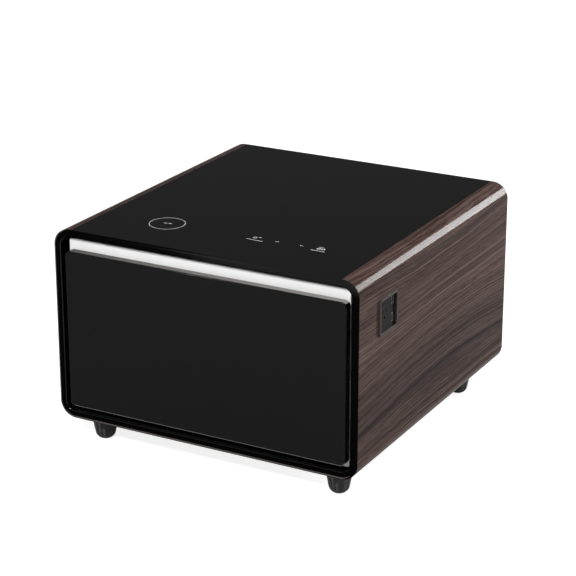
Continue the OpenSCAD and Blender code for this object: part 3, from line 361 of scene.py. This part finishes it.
def round_edges(bm, edges, radius, segments):
    bmesh.ops.bevel(bm, geom=edges, offset=radius, offset_type="OFFSET", segments=segments,
                    profile=0.5, affect="EDGES", material=-1, clamp_overlap=False)


def edges_along(bm, axis):
    """Edges that run along one axis: 0, 1 or 2."""
    return [e for e in bm.edges
            if abs((e.verts[1].co - e.verts[0].co).normalized()[axis]) > 0.99]


sharp_angle = math.radians(50)


def sharp_edges(bm):
    return [e for e in bm.edges
            if len(e.link_faces) == 2 and e.calc_face_angle() > sharp_angle]


def rounded_plate(low, high, axis, corner, edge, steps, edge_steps):
    """Plate whose four edges along one axis are rounded, with soft outlines."""
    bm = block(low, high)
    round_edges(bm, edges_along(bm, axis), corner, steps)
    round_edges(bm, sharp_edges(bm), edge, edge_steps)
    return bm


def place_piece(bm, name, material, body, stands_for, smooth=35):
    """Turns a bmesh into a finished piece of the object and puts it on its body."""
    bmesh.ops.remove_doubles(bm, verts=bm.verts, dist=1e-7)
    bmesh.ops.recalc_face_normals(bm, faces=bm.faces)
    mesh = mesh_of(bm, name)
    mesh.shade_smooth()
    mesh.set_sharp_from_angle(angle=math.radians(smooth))
    for one in material if isinstance(material, tuple) else (material,):
        mesh.materials.append(one)
    made = put_in_scene(name, mesh)
    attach(made, body)
    if stands_for:
        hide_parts(*stands_for)
    return made


def even_shading(piece):
    """Keeps large flat faces evenly shaded beside their rounded edges."""
    made = piece.modifiers.new("even shading", "WEIGHTED_NORMAL")
    made.keep_sharp = True
    return piece


def round_the_section(p):
    """Distance round the wood from its top seam, for the laminate's pattern."""
    x = abs(p.x)
    straight = shell_high.x - shell_r
    to_side = straight - seam_x + shell_r * math.pi / 2
    side = shell_high.z - shell_low.z - 2 * shell_r
    if p.z > shell_high.z - shell_r:
        if x <= straight:
            return x - seam_x
        turn = math.atan2(x - straight, p.z - shell_high.z + shell_r)
        return straight - seam_x + shell_r * turn
    if p.z < shell_low.z + shell_r:
        if x <= straight:
            return to_side + side + shell_r * math.pi / 2 + straight - x
        turn = math.atan2(shell_low.z + shell_r - p.z, x - straight)
        return to_side + side + shell_r * turn
    return to_side + shell_high.z - shell_r - p.z


def cut(bm, point, normal, **sides):
    """Cuts a bmesh along a plane."""
    bmesh.ops.bisect_plane(bm, geom=bm.verts[:] + bm.edges[:] + bm.faces[:], dist=1e-6,
                           plane_co=point, plane_no=normal, **sides)


for side, name in ((-1, "left"), (1, "right")):
    bm = block(shell_low, shell_high)
    round_edges(bm, edges_along(bm, 1), shell_r, 24)
    ends = [f for f in bm.faces if abs(f.normal.y) > 0.9]
    bmesh.ops.delete(bm, geom=ends, context="FACES")
    cut(bm, (side * seam_x, 0, 0), (side, 0, 0), clear_inner=True)
    if side > 0:
        for y in socket_cut[0]:
            cut(bm, (0, y, 0), (0, 1, 0))
        for z in socket_cut[1]:
            cut(bm, (0, 0, z), (0, 0, 1))
        hole = [f for f in bm.faces
                if socket_cut[0][0] < f.calc_center_median().y < socket_cut[0][1]
                and socket_cut[1][0] < f.calc_center_median().z < socket_cut[1][1]]
        bmesh.ops.delete(bm, geom=hole, context="FACES")
    bmesh.ops.recalc_face_normals(bm, faces=bm.faces)
    if next(f for f in bm.faces if abs(f.normal.x) > 0.9).normal.x * side < 0:
        bmesh.ops.reverse_faces(bm, faces=bm.faces)
    grain_map = bm.loops.layers.uv.new("grain")
    for f in bm.faces:
        for loop in f.loops:
            p = loop.vert.co
            loop[grain_map].uv = (p.y + print_start[0] * side,
                                  round_the_section(p) + print_start[1] * side)
    mesh = mesh_of(bm, name + "_side")
    mesh.shade_smooth()
    mesh.materials.append(laminate)
    mesh.materials.append(edge_band)
    panel = put_in_scene(name + "_side", mesh)
    thick = panel.modifiers.new("board", "SOLIDIFY")
    thick.thickness = wood_t
    thick.offset = -1
    thick.use_even_offset = True
    thick.material_offset_rim = 1
    soft = panel.modifiers.new("eased edges", "BEVEL")
    soft.width = eased
    soft.segments = 2
    soft.limit_method = "ANGLE"
    soft.angle_limit = sharp_angle
    even_shading(panel)
    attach(panel, "cabinet")
    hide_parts("side_panel_" + name)

# ---- Feet -------------------------------------------------------------------------------
# Four turned feet, tapered and rounded at the floor, lacquered gloss black. Each screws onto a
# threaded stud that is fixed in the base board.

foot_top_r, foot_tip_r, foot_h = 26 * MM, 16.4 * MM, 52 * MM
foot_round, foot_top_edge = 14.5 * MM, 0.5 * MM
foot_places = {"foot_front_left": (-240, -258.5), "foot_front_right": (240, -258.5),
               "foot_rear_left": (-240, 242.5), "foot_rear_right": (240, 242.5)}

# Fine mottle that keeps a moulded or painted surface from being one flat colour
mottle, mottle_in, mottle_out = group(
    "mottle",
    [("Place", "Vector"), ("Color", "Color"), ("Size", "Float"), ("Contrast", "Float"),
     ("Gloss", "Float"), ("Gloss Change", "Float")],
    [("Color", "Color"), ("Roughness", "Float"), ("Height", "Float")])
fine, cloud = (add(mottle, "ShaderNodeTexNoise", None,
                   {"Vector": mottle_in["Place"], "Scale": scale, "Detail": detail}).outputs["Fac"]
               for scale, detail in ((mottle_in["Size"], 2.0), (14.0, 4.0)))
change = math_node(mottle, "ADD", about_zero(mottle, fine, 2.0), about_zero(mottle, cloud, 2.0))
level = math_node(mottle, "ADD", 1.0, math_node(mottle, "MULTIPLY", change, mottle_in["Contrast"]))
mottle.links.new(times(mottle, mottle_in["Color"], level), mottle_out.inputs["Color"])
mottle.links.new(math_node(mottle, "ADD", mottle_in["Gloss"],
                           about_zero(mottle, cloud, mottle_in["Gloss Change"])),
                 mottle_out.inputs["Roughness"])
mottle.links.new(fine, mottle_out.inputs["Height"])


def moulded(name, colour, gloss, specular=0.5, size=900.0, contrast=0.06, gloss_change=0.06,
            relief=0.0, **sockets):
    """Plastic or paint: one colour with a fine mottle, uneven gloss and a little relief."""
    made, tree, shader = shaded(name, Specular_IOR_Level=specular, **sockets)
    look = use_group(tree, mottle, {
        "Place": object_place(tree), "Color": (*colour, 1), "Size": size,
        "Contrast": contrast, "Gloss": gloss, "Gloss Change": gloss_change})
    tree.links.new(look["Color"], shader.inputs["Base Color"])
    tree.links.new(look["Roughness"], shader.inputs["Roughness"])
    if relief:
        bump(tree, shader, look["Height"], relief, 0.0002)
    return made


# The lacquer's highlight is drawn out upright, as on any turned foot
lacquer = moulded("black lacquer", (0.0025, 0.0023, 0.0023), 0.36, specular=0.6, relief=0.01,
                  size=60.0, contrast=0.03, gloss_change=0.02, Anisotropic=1.0,
                  Anisotropic_Rotation=0.25)
tree = lacquer.node_tree
round_it = add(tree, "ShaderNodeVectorMath", {"operation": "CROSS_PRODUCT"},
               {0: add(tree, "ShaderNodeNewGeometry").outputs["Normal"], 1: (0, 0, 1)})
tree.links.new(round_it.outputs[0], tree.nodes["Principled BSDF"].inputs["Tangent"])
zinc = moulded("zinc plated steel", (0.60, 0.60, 0.58), 0.32, size=160.0, contrast=0.10,
               gloss_change=0.16, relief=0.05, Metallic=1.0)

taper = math.atan((foot_top_r - foot_tip_r) / foot_h)
for name, (x, y) in foot_places.items():
    bm = bmesh.new()
    corners = [bm.verts.new((r, 0, z)) for r, z in
               ((0, 0), (foot_tip_r, 0), (foot_top_r, foot_h), (0, foot_h))]
    for a, b in zip(corners, corners[1:]):
        bm.edges.new((a, b))
    bmesh.ops.spin(bm, geom=bm.verts[:] + bm.edges[:], cent=(0, 0, 0), axis=(0, 0, 1),
                   angle=2 * math.pi, steps=64, use_merge=True)
    bmesh.ops.remove_doubles(bm, verts=bm.verts, dist=1e-6)
    bmesh.ops.recalc_face_normals(bm, faces=bm.faces)
    tip_ring = [e for e in sharp_edges(bm) if all(v.co.z < MM for v in e.verts)]
    round_edges(bm, tip_ring, foot_round * math.tan((math.pi / 2 - taper) / 2), 14)
    top_ring = [e for e in sharp_edges(bm) if all(v.co.z > foot_h - MM for v in e.verts)]
    round_edges(bm, top_ring, foot_top_edge, 3)
    bmesh.ops.translate(bm, vec=(x * MM, y * MM, 0), verts=bm.verts)
    place_piece(bm, name.replace("foot_", "") + "_foot", lacquer, "cabinet", (name,),
                60)


def dress(names, material):
    """Gives carried-over CAD pieces their material."""
    for name in names:
        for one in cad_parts[name].material_slots:
            one.material = material


dress(("foot_studs", "back_screws"), zinc)

# ---- Boards -----------------------------------------------------------------------------
# The base board closes the wood wrap below, and the top board carries the glass. Both are plain
# veneered boards, glued between the wood sides, that show only their edges and undersides.

board, tree, shader = shaded("dark board", Specular_IOR_Level=0.3)
grain = use_group(tree, figure, {
    "Place": add(tree, "ShaderNodeMapping", None,
                 {"Vector": object_place(tree), "Rotation": (0, 0, math.pi / 2)}).outputs[0],
    "Dark": (0.030, 0.021, 0.020, 1), "Middle": (0.062, 0.044, 0.040, 1),
    "Light": (0.098, 0.070, 0.064, 1)})
tree.links.new(grain["Color"], shader.inputs["Base Color"])
tree.links.new(ramp(tree, grain["Streak"], (0.3, 0.45), (0.7, 0.6)), shader.inputs["Roughness"])
bump(tree, shader, grain["Height"], 0.15, 0.0002)
dress(("base_board", "top_board"), board)

# ---- Glass top --------------------------------------------------------------------------
# A sheet of toughened glass, painted black underneath, lies on the top board. The charging ring
# and the touch marks are printed on it in pale ink.

glass_t, glass_corner, glass_edge = 5 * MM, 0.6 * MM, 0.5 * MM
glass_x, glass_y = 265.7 * MM, (-309.7 * MM, 307.2 * MM)
print_t = 0.05 * MM
top_z = 410 * MM
front_y = -312.5 * MM

black_glass = moulded("black painted glass", (0.0042, 0.0042, 0.0042), 0.09, specular=0.16,
                      contrast=0.03, gloss_change=0.03, size=5.0)
ground_edge = moulded("ground glass edge", (0.004, 0.004, 0.004), 0.5, specular=0.05,
                      contrast=0.05)
bm = rounded_plate((-glass_x, glass_y[0], top_z - glass_t), (glass_x, glass_y[1], top_z - print_t),
                   2, glass_corner, glass_edge, 3, 3)
for f in bm.faces:
    if f.normal.z < 0.999:
        f.material_index = 1
glass_top = even_shading(place_piece(bm, "glass_top", (black_glass, ground_edge), "cabinet",
                                     ("top_glass",)))

# The edge lamp draws the light line on the wood; from the left it would blot out the glass
shaded_from_it = bpy.data.collections.new("shaded from the edge lamp")
shaded_from_it.objects.link(glass_top)
edge_lamp.light_linking.receiver_collection = shaded_from_it
for one in shaded_from_it.collection_objects:
    one.light_linking.link_state = "EXCLUDE"

pale_ink = moulded("pale ink", (0.80, 0.77, 0.75), 0.3, specular=0.3, contrast=0.08)


def printed(bm):
    """Gives flat printed shapes their thickness, down into the glass."""
    made = bmesh.ops.extrude_face_region(bm, geom=bm.faces[:])
    moved = [g for g in made["geom"] if isinstance(g, bmesh.types.BMVert)]
    bmesh.ops.translate(bm, vec=(0, 0, -2 * print_t), verts=moved)


def ring_mark(bm, x, y, radius, line):
    """Printed ring round a point, flat on the glass."""
    made = bmesh.ops.create_circle(bm, cap_ends=True, segments=72, radius=radius * MM)
    face = made["verts"][0].link_faces[0]
    bmesh.ops.translate(bm, vec=(x * MM, front_y + y * MM, top_z), verts=made["verts"])
    bmesh.ops.inset_region(bm, faces=[face], thickness=line * MM, use_boundary=True,
                           use_even_offset=True)
    bmesh.ops.delete(bm, geom=[face], context="FACES")


def bar_mark(bm, x0, y0, x1, y1, line):
    """Printed line with round ends between two points."""
    start, end = Vector((x0, y0, 0)) * MM, Vector((x1, y1, 0)) * MM
    way = end - start
    made = bmesh.ops.create_circle(bm, cap_ends=True, segments=24, radius=line / 2 * MM)
    ahead = [v for v in made["verts"] if v.co.x > 1e-9]
    bmesh.ops.translate(bm, vec=(way.length, 0, 0), verts=ahead)
    bmesh.ops.rotate(bm, cent=(0, 0, 0), verts=made["verts"],
                     matrix=Matrix.Rotation(math.atan2(way.y, way.x), 3, "Z"))
    bmesh.ops.translate(bm, vec=start + Vector((0, front_y, top_z)), verts=made["verts"])


# Rings: middle X and Y from the front edge, radius, line. Bars: both ends and line. In mm.
for name, rings, bars in (
        ("charging_ring", ((-136, 115, 32.5, 1.0),),
         ((-141.2, 115.0, -137.6, 115.6, 2.6), (-133.0, 116.6, -129.4, 117.2, 2.6))),
        ("touch_marks", ((38.8, 120.8, 3.8, 1.5), (163, 120.4, 3.9, 1.8), (171.4, 121, 3.5, 1.8)),
         ((28, 109.4, 59.5, 108.2, 1.4), (44.5, 124.4, 48, 125.6, 2.0),
          (80.5, 119, 84.5, 119.6, 1.8), (127.5, 119.8, 132, 120.4, 1.8),
          (153.5, 110, 179, 109.6, 1.8), (160.5, 128, 167, 130.4, 1.5)))):
    bm = bmesh.new()
    for ring in rings:
        ring_mark(bm, *ring)
    for bar in bars:
        bar_mark(bm, *bar)
    printed(bm)
    place_piece(bm, name, pale_ink, "cabinet", ())

# ---- Front bezel ------------------------------------------------------------------------
# One gloss black moulding frames the drawer. Its face covers the wood's front edge, and a
# collar behind its inner edge slides into the cabinet.

bezel_w, bezel_face_t, bezel_depth = 14 * MM, 2.5 * MM, 46.2 * MM
collar_w = 1.7 * MM
rounding_deep, stretch = 2.2 * MM, 2.0
lip_round = 3.2 * MM
dull_black = moulded("dull black moulding", (0.0009, 0.0009, 0.0009), 0.16, specular=0.015,
                     contrast=0.02, gloss_change=0.02, size=40.0)
polished_black = moulded("polished black edge", (0.001, 0.001, 0.001), 0.07, specular=0.3,
                         contrast=0.02, gloss_change=0.02, size=40.0)
# Painted highlight for the outer rounding's lower and left bars, lighter than the black moulding
painted_highlight_edge = moulded("painted highlight moulding edge", (0.085, 0.073, 0.069), 0.25, specular=0.3,
                     contrast=0.04)

# Painted reflection: the upper bar of the bezel is painted lighter towards its right end, where it
# would reflect the room
tree = dull_black.node_tree
spot = split(tree, object_place(tree))
painted_reflection_right, painted_reflection_top = (add(tree, "ShaderNodeMapRange", {"interpolation_type": "SMOOTHSTEP"},
                       {"Value": spot[axis], "From Min": low, "From Max": high}).outputs[0]
                   for axis, low, high in (("X", -0.08, 0.07), ("Z", 0.380, 0.399)))
base = tree.nodes["Principled BSDF"].inputs["Base Color"]
tree.links.new(mixed(tree, math_node(tree, "MULTIPLY", painted_reflection_right, painted_reflection_top),
                     base.links[0].from_socket, (0.0115, 0.0112, 0.0112)), base)

# One upright face with round corners, cut into the outer ring, the collar's ring and the middle
bm = block((shell_low.x, front_y, shell_low.z), (shell_high.x, front_y + 10 * MM, shell_high.z))
round_edges(bm, edges_along(bm, 1), shell_r, 20)
bmesh.ops.delete(bm, geom=[f for f in bm.faces if f.normal.y > -0.9], context="FACES")
middle = bm.faces[:]
bmesh.ops.inset_region(bm, faces=middle, thickness=bezel_w - collar_w, use_boundary=True,
                       use_even_offset=True)
outer_ring = [f for f in bm.faces if f not in middle]
bmesh.ops.inset_region(bm, faces=middle, thickness=collar_w, use_boundary=True,
                       use_even_offset=True)
for f in bm.faces:
    f.material_index = 0 if f in outer_ring else 1
bmesh.ops.delete(bm, geom=middle, context="FACES")


def push_back(bm, faces, depth):
    """Extrudes faces to the back, keeps them, and returns the new back faces."""
    made = bmesh.ops.extrude_face_region(bm, geom=faces, use_keep_orig=True)["geom"]
    bmesh.ops.translate(bm, vec=(0, depth, 0),
                        verts=[g for g in made if isinstance(g, bmesh.types.BMVert)])
    return [g for g in made if isinstance(g, bmesh.types.BMFace)]


behind = push_back(bm, bm.faces[:], bezel_face_t)
collar_start = [f for f in behind if f.material_index == 1]
push_back(bm, collar_start, bezel_depth - bezel_face_t)
bmesh.ops.delete(bm, geom=collar_start, context="FACES")
for f in bm.faces:
    f.material_index = 0
bmesh.ops.recalc_face_normals(bm, faces=bm.faces)


def front_rim(bm, outer):
    """Edges of the bezel's front face, its outer or its inner outline."""
    shell_middle = Vector((0, front_y, (shell_low.z + shell_high.z) / 2))
    found = []
    for e in bm.edges:
        if any(abs(v.co.y - front_y) > 1e-6 for v in e.verts):
            continue
        walls = [f for f in e.link_faces if abs(f.normal.y) < 0.3]
        if not walls:
            continue
        away = walls[0].calc_center_median() - shell_middle
        if (walls[0].normal.dot(away) > 0) == outer:
            found.append(e)
    return found


# The outer rounding is wider on the face than it is deep, so it is cut on a stretched body. Along
# the lower bar and the left bar its faces carry a painted highlight: a lighter colour in place of
# the reflection of the lit floor and room.
before = set(bm.faces)
at_front = Matrix.Translation((0, -front_y, 0))
bmesh.ops.scale(bm, vec=(1, stretch, 1), space=at_front, verts=bm.verts)
round_edges(bm, front_rim(bm, True), rounding_deep * stretch, 10)
bmesh.ops.scale(bm, vec=(1, 1 / stretch, 1), space=at_front, verts=bm.verts)
bm.normal_update()
for f in bm.faces:
    if f not in before and f.normal.y < -0.3 and f.normal.x < 0.05 and (
            -0.30 < f.normal.z < -0.03 or -0.75 < f.normal.x < -0.15):
        f.material_index = 2
before = set(bm.faces)
round_edges(bm, front_rim(bm, False), lip_round, 8)
for f in bm.faces:
    if f not in before and -0.995 < f.normal.y < -0.02:
        f.material_index = 1
even_shading(place_piece(bm, "bezel", (dull_black, polished_black, painted_highlight_edge), "cabinet",
                         ("front_bezel",)))

# ---- Drawer front -----------------------------------------------------------------------
# Black glass on a dark moulded carrier. Behind the glass's top edge a grey aluminium channel
# takes the fingers, and a bright aluminium plate stands behind it all and shows above it.

front_glass_x, front_glass_z = 277.4 * MM, (76.5 * MM, 370.5 * MM)
front_glass_t, front_glass_corner, front_glass_edge = 4 * MM, 10 * MM, 1.5 * MM
drawer_glass = moulded("drawer glass", (0.0045, 0.0045, 0.0045), 0.10, specular=0.12,
                       contrast=0.03, gloss_change=0.03, size=5.0)
# Painted highlight: the lower front rounding of the drawer glass is a light brown-grey, in place
# of the reflection of the lit floor
painted_highlight_glass = moulded("painted highlight lower edge", (0.17, 0.152, 0.146), 0.35, contrast=0.05)
bm = rounded_plate((-front_glass_x, front_y, front_glass_z[0]),
                   (front_glass_x, front_y + front_glass_t, front_glass_z[1]), 1,
                   front_glass_corner, front_glass_edge, 12, 5)
# The lower front rounding takes the painted highlight
for f in bm.faces:
    if f.normal.z < -0.15 and f.normal.y < -0.3:
        f.material_index = 1
even_shading(place_piece(bm, "front_glass", (drawer_glass, painted_highlight_glass), "drawer",
                         ("drawer_glass",)))

# Fine lines from brushing or rolling, long in one direction
brushed, brushed_in, brushed_out = group(
    "brushed lines",
    [("Place", "Vector"), ("Color", "Color"), ("Gloss", "Float"), ("Contrast", "Float")],
    [("Color", "Color"), ("Roughness", "Float"), ("Height", "Float")])
hairs = stretched_noise(brushed, brushed_in["Place"], (12, 900, 900), 3, 0.6)
patches = stretched_noise(brushed, brushed_in["Place"], (3, 24, 24), 2)
amount = about_zero(brushed, hairs, brushed_in["Contrast"])
brushed.links.new(times(brushed, brushed_in["Color"], math_node(brushed, "ADD", 1.0, amount)),
                  brushed_out.inputs["Color"])
uneven = math_node(brushed, "ADD", amount, about_zero(brushed, patches, 0.1))
brushed.links.new(math_node(brushed, "ADD", brushed_in["Gloss"], uneven),
                  brushed_out.inputs["Roughness"])
brushed.links.new(hairs, brushed_out.inputs["Height"])


def metal(name, colour, gloss, contrast=0.2, turn=(0, 0, 0), share=1.0):
    """Metal with fine lines that run along X unless turned; a low share makes it satin."""
    made, tree, shader = shaded(name, Metallic=share)
    place = add(tree, "ShaderNodeMapping", None,
                {"Vector": object_place(tree), "Rotation": turn})
    look = use_group(tree, brushed, {"Place": place.outputs[0], "Color": (*colour, 1),
                                     "Gloss": gloss, "Contrast": contrast})
    tree.links.new(look["Color"], shader.inputs["Base Color"])
    tree.links.new(look["Roughness"], shader.inputs["Roughness"])
    bump(tree, shader, look["Height"], 0.08, 0.00005)
    return made


bright_aluminium = metal("bright aluminium", (0.85, 0.85, 0.85), 0.34, 0.04, share=0.12)
grey_aluminium = metal("grey aluminium", (0.39, 0.365, 0.36), 0.40, 0.1, share=0.5)

# Painted shade: the channel's colour is darkened towards its left end, standing in for light that
# falls from the right
tree = grey_aluminium.node_tree
along = split(tree, object_place(tree))["X"]
share = add(tree, "ShaderNodeMapRange", None,
            {"Value": along, "From Min": -0.27, "From Max": 0.25, "To Min": 0.42,
             "To Max": 1.0}).outputs[0]
base = tree.nodes["Principled BSDF"].inputs["Base Color"]
tree.links.new(times(tree, base.links[0].from_socket, share), base)

dark_carrier = moulded("dark carrier", (0.002, 0.002, 0.002), 0.25, specular=0.10)
plate_corner, plate_edge = 4 * MM, 0.9 * MM
plate_low, plate_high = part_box("silver_plate")
bm = rounded_plate(plate_low, plate_high, 1, plate_corner, plate_edge, 8, 4)
even_shading(place_piece(bm, "plate", bright_aluminium, "drawer", ("silver_plate",)))
dress(("handle_channel",), grey_aluminium)
dress(("drawer_carrier",), dark_carrier)

# ---- Socket unit ------------------------------------------------------------------------
# A black moulded frame let into the right side: a raised satin rim round a sunk face, with a
# round mains insert on the left and two upright USB ports on the right. It snaps into the wood.

socket_black = moulded("socket black", (0.009, 0.008, 0.008), 0.30, specular=0.05, size=1500.0,
                       contrast=0.10, relief=0.05)
port_shell = metal("port shell", (0.16, 0.15, 0.15), 0.4)
rim_black = moulded("socket rim", (0.042, 0.032, 0.030), 0.38, specular=0.10, size=1500.0,
                    contrast=0.10, relief=0.05)
rim_side, rim_level, rim_t = 5.5 * MM, 4 * MM, 3.5 * MM
rim_round, rim_edge = 6 * MM, 0.8 * MM
face_x, face_t, face_size = 299.5 * MM, 8 * MM, 59.6 * MM
# Holes in the sunk face: middle Y and Z, then the radius, or the width and height
mains_hole = (-215 * MM, 325.5 * MM, 17.6 * MM)
port_holes = tuple((-186.5 * MM, z * MM, 8.2 * MM, 15.6 * MM) for z in (309.5, 341.5))
upright = Matrix(((0, 0, 1), (1, 0, 0), (0, 1, 0)))


def upright_face(bm, x, y, z, wide, high):
    """Rectangle on the cabinet's side, facing right."""
    made = bmesh.ops.create_grid(bm, x_segments=1, y_segments=1, size=0.5)["verts"]
    bmesh.ops.scale(bm, vec=(wide, high, 1), verts=made)
    bmesh.ops.rotate(bm, cent=(0, 0, 0), matrix=upright, verts=made)
    bmesh.ops.translate(bm, vec=(x, y, z), verts=made)
    return made


def thicken(bm, faces, depth):
    """Gives flat faces on the cabinet's side their thickness, inwards."""
    made = bmesh.ops.extrude_face_region(bm, geom=faces, use_keep_orig=True)
    back = [g for g in made["geom"] if isinstance(g, bmesh.types.BMVert)]
    bmesh.ops.translate(bm, vec=(-depth, 0, 0), verts=back)


frame_low, frame_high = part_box("outlet_frame")
middle_y, middle_z = (frame_low[1] + frame_high[1]) / 2, (frame_low[2] + frame_high[2]) / 2
wide, high = frame_high[1] - frame_low[1], frame_high[2] - frame_low[2]
rim = bmesh.new()
corners = upright_face(rim, frame_high[0], middle_y, middle_z, wide, high)
bmesh.ops.bevel(rim, geom=corners, offset=rim_round, offset_type="OFFSET", segments=8,
                profile=0.5, affect="VERTICES", material=-1, clamp_overlap=False)
middle = rim.faces[:]
bmesh.ops.inset_region(rim, faces=middle, thickness=rim_level, use_boundary=True,
                       use_even_offset=True)
for v in middle[0].verts:
    v.co.y -= math.copysign(rim_side - rim_level, v.co.y - middle_y)
bmesh.ops.delete(rim, geom=middle, context="FACES")
thicken(rim, rim.faces[:], rim_t)
bmesh.ops.recalc_face_normals(rim, faces=rim.faces)
round_edges(rim, [e for e in sharp_edges(rim)
                  if all(v.co.x > frame_high[0] - MM / 10 for v in e.verts)], rim_edge, 3)

sunk = bmesh.new()
upright_face(sunk, face_x, middle_y, middle_z, face_size, face_size)
for y, z, hole_wide, hole_high in port_holes:
    upright_face(sunk, face_x, y, z, hole_wide, hole_high)
hole = bmesh.ops.create_circle(sunk, cap_ends=False, segments=48, radius=mains_hole[2])["verts"]
bmesh.ops.rotate(sunk, cent=(0, 0, 0), matrix=upright, verts=hole)
bmesh.ops.translate(sunk, vec=(face_x, mains_hole[0], mains_hole[1]), verts=hole)
bmesh.ops.delete(sunk, geom=sunk.faces[:], context="FACES_ONLY")
bmesh.ops.triangle_fill(sunk, use_beauty=True, edges=sunk.edges[:], normal=(1, 0, 0))
thicken(sunk, sunk.faces[:], face_t)
for f in sunk.faces:
    f.material_index = 1
sunk_mesh = mesh_of(sunk, "sunk face")
rim.from_mesh(sunk_mesh)
bpy.data.meshes.remove(sunk_mesh)
place_piece(rim, "socket_frame", (rim_black, socket_black), "cabinet", ("outlet_frame",),
            40)
dress(("mains_socket",), socket_black)
dress(("usb_ports",), port_shell)

# ---- Back -------------------------------------------------------------------------------
# A black powder-coated steel sheet with louvres closes the machine bay. It is held by six
# screws, and the appliance inlet snaps into it at the lower corner. The partition is the same.

powder_coat = moulded("black powder coat", (0.010, 0.010, 0.010), 0.5, specular=0.3, size=700.0,
                      contrast=0.12, relief=0.25)
black_plastic = moulded("black plastic", (0.012, 0.012, 0.012), 0.38, specular=0.35,
                        size=1800.0, contrast=0.10, relief=0.10)
dress(("back_panel", "partition"), powder_coat)
dress(("power_inlet",), black_plastic)

# ---- Inside of the drawer front, bin and rails ------------------------------------------
# The white inner panel is vacuum formed over a foam core with a grey skin, and carries a grey
# magnetic gasket. The white bin hangs between two telescopic steel rails, with one divider.

white_plastic = moulded("white plastic", (0.74, 0.75, 0.75), 0.30, size=1200.0, contrast=0.03,
                        relief=0.03)
grey_plastic = moulded("grey plastic", (0.16, 0.165, 0.17), 0.42, size=1500.0, contrast=0.08,
                       relief=0.08)
gasket_rubber = moulded("gasket rubber", (0.19, 0.195, 0.20), 0.62, specular=0.3, size=2500.0,
                        contrast=0.12, relief=0.12)
foam = moulded("foam", (0.72, 0.60, 0.36), 0.85, specular=0.15, size=420.0, contrast=0.25,
               relief=0.6)
rail_steel = metal("rail steel", (0.56, 0.57, 0.58), 0.28, 0.18, (0, 0, math.pi / 2))
skinned_foam = moulded("skinned foam", (0.30, 0.30, 0.295), 0.55, specular=0.25, size=300.0,
                       contrast=0.06, relief=0.10)
dress(("door_core",), skinned_foam)
dress(("foam_top", "foam_bottom", "foam_left", "foam_right", "foam_rear"), foam)
dress(("door_panel", "drawer_bin"), white_plastic)
dress(("door_gasket",), gasket_rubber)
dress(("bin_divider",), grey_plastic)
dress([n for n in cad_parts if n.startswith("rail_")], rail_steel)

# ---- Cold space -------------------------------------------------------------------------
# The liner is one white vacuum-formed shell in foam. At its back a white cover hides the finned
# evaporator, and a small fan blows the cold air out through the slots.

fin_metal = metal("fin aluminium", (0.62, 0.63, 0.64), 0.34, 0.25, (0, math.pi / 2, 0))
lens_plastic = moulded("frosted lens", (0.86, 0.86, 0.82), 0.45, contrast=0.02,
                       Transmission_Weight=0.35)
dress(("inner_liner", "duct_cover"), white_plastic)
dress(("evaporator",), fin_metal)
dress(("light_lens",), lens_plastic)
dress(("evaporator_fan_frame", "evaporator_fan", "condenser_fan_frame", "condenser_fan"),
      black_plastic)

# ---- Machine bay ------------------------------------------------------------------------
# The compressor stands on rubber mounts, with copper pipes to the evaporator and to the finned
# condenser, which a second fan cools. A tray below catches the water.

enamel = moulded("black enamel", (0.008, 0.008, 0.008), 0.22, specular=0.5, size=300.0,
                 contrast=0.10, relief=0.10)
copper = moulded("copper", (0.62, 0.29, 0.17), 0.28, size=260.0, contrast=0.12,
                 gloss_change=0.15, relief=0.05, Metallic=1.0)
dress(("compressor", "condenser"), enamel)
dress(("compressor_mounts",), gasket_rubber)
dress(("relay_cover",), grey_plastic)
dress(("discharge_pipe", "suction_pipe", "filter_dryer", "capillary_tube"), copper)
dress(("drip_tray",), white_plastic)

# ---- Electronics ------------------------------------------------------------------------
# Green boards for touch, charging and control, the charging coil on its ferrite plate, and the
# grey box of the main board on the wall of the machine bay.

circuit = moulded("circuit board", (0.02, 0.11, 0.05), 0.35, size=700.0, contrast=0.35,
                  relief=0.10)
dress(("touch_board", "charger_board", "control_board"), circuit)
dress(("charging_coil",), copper)
dress(("control_box",), grey_plastic)
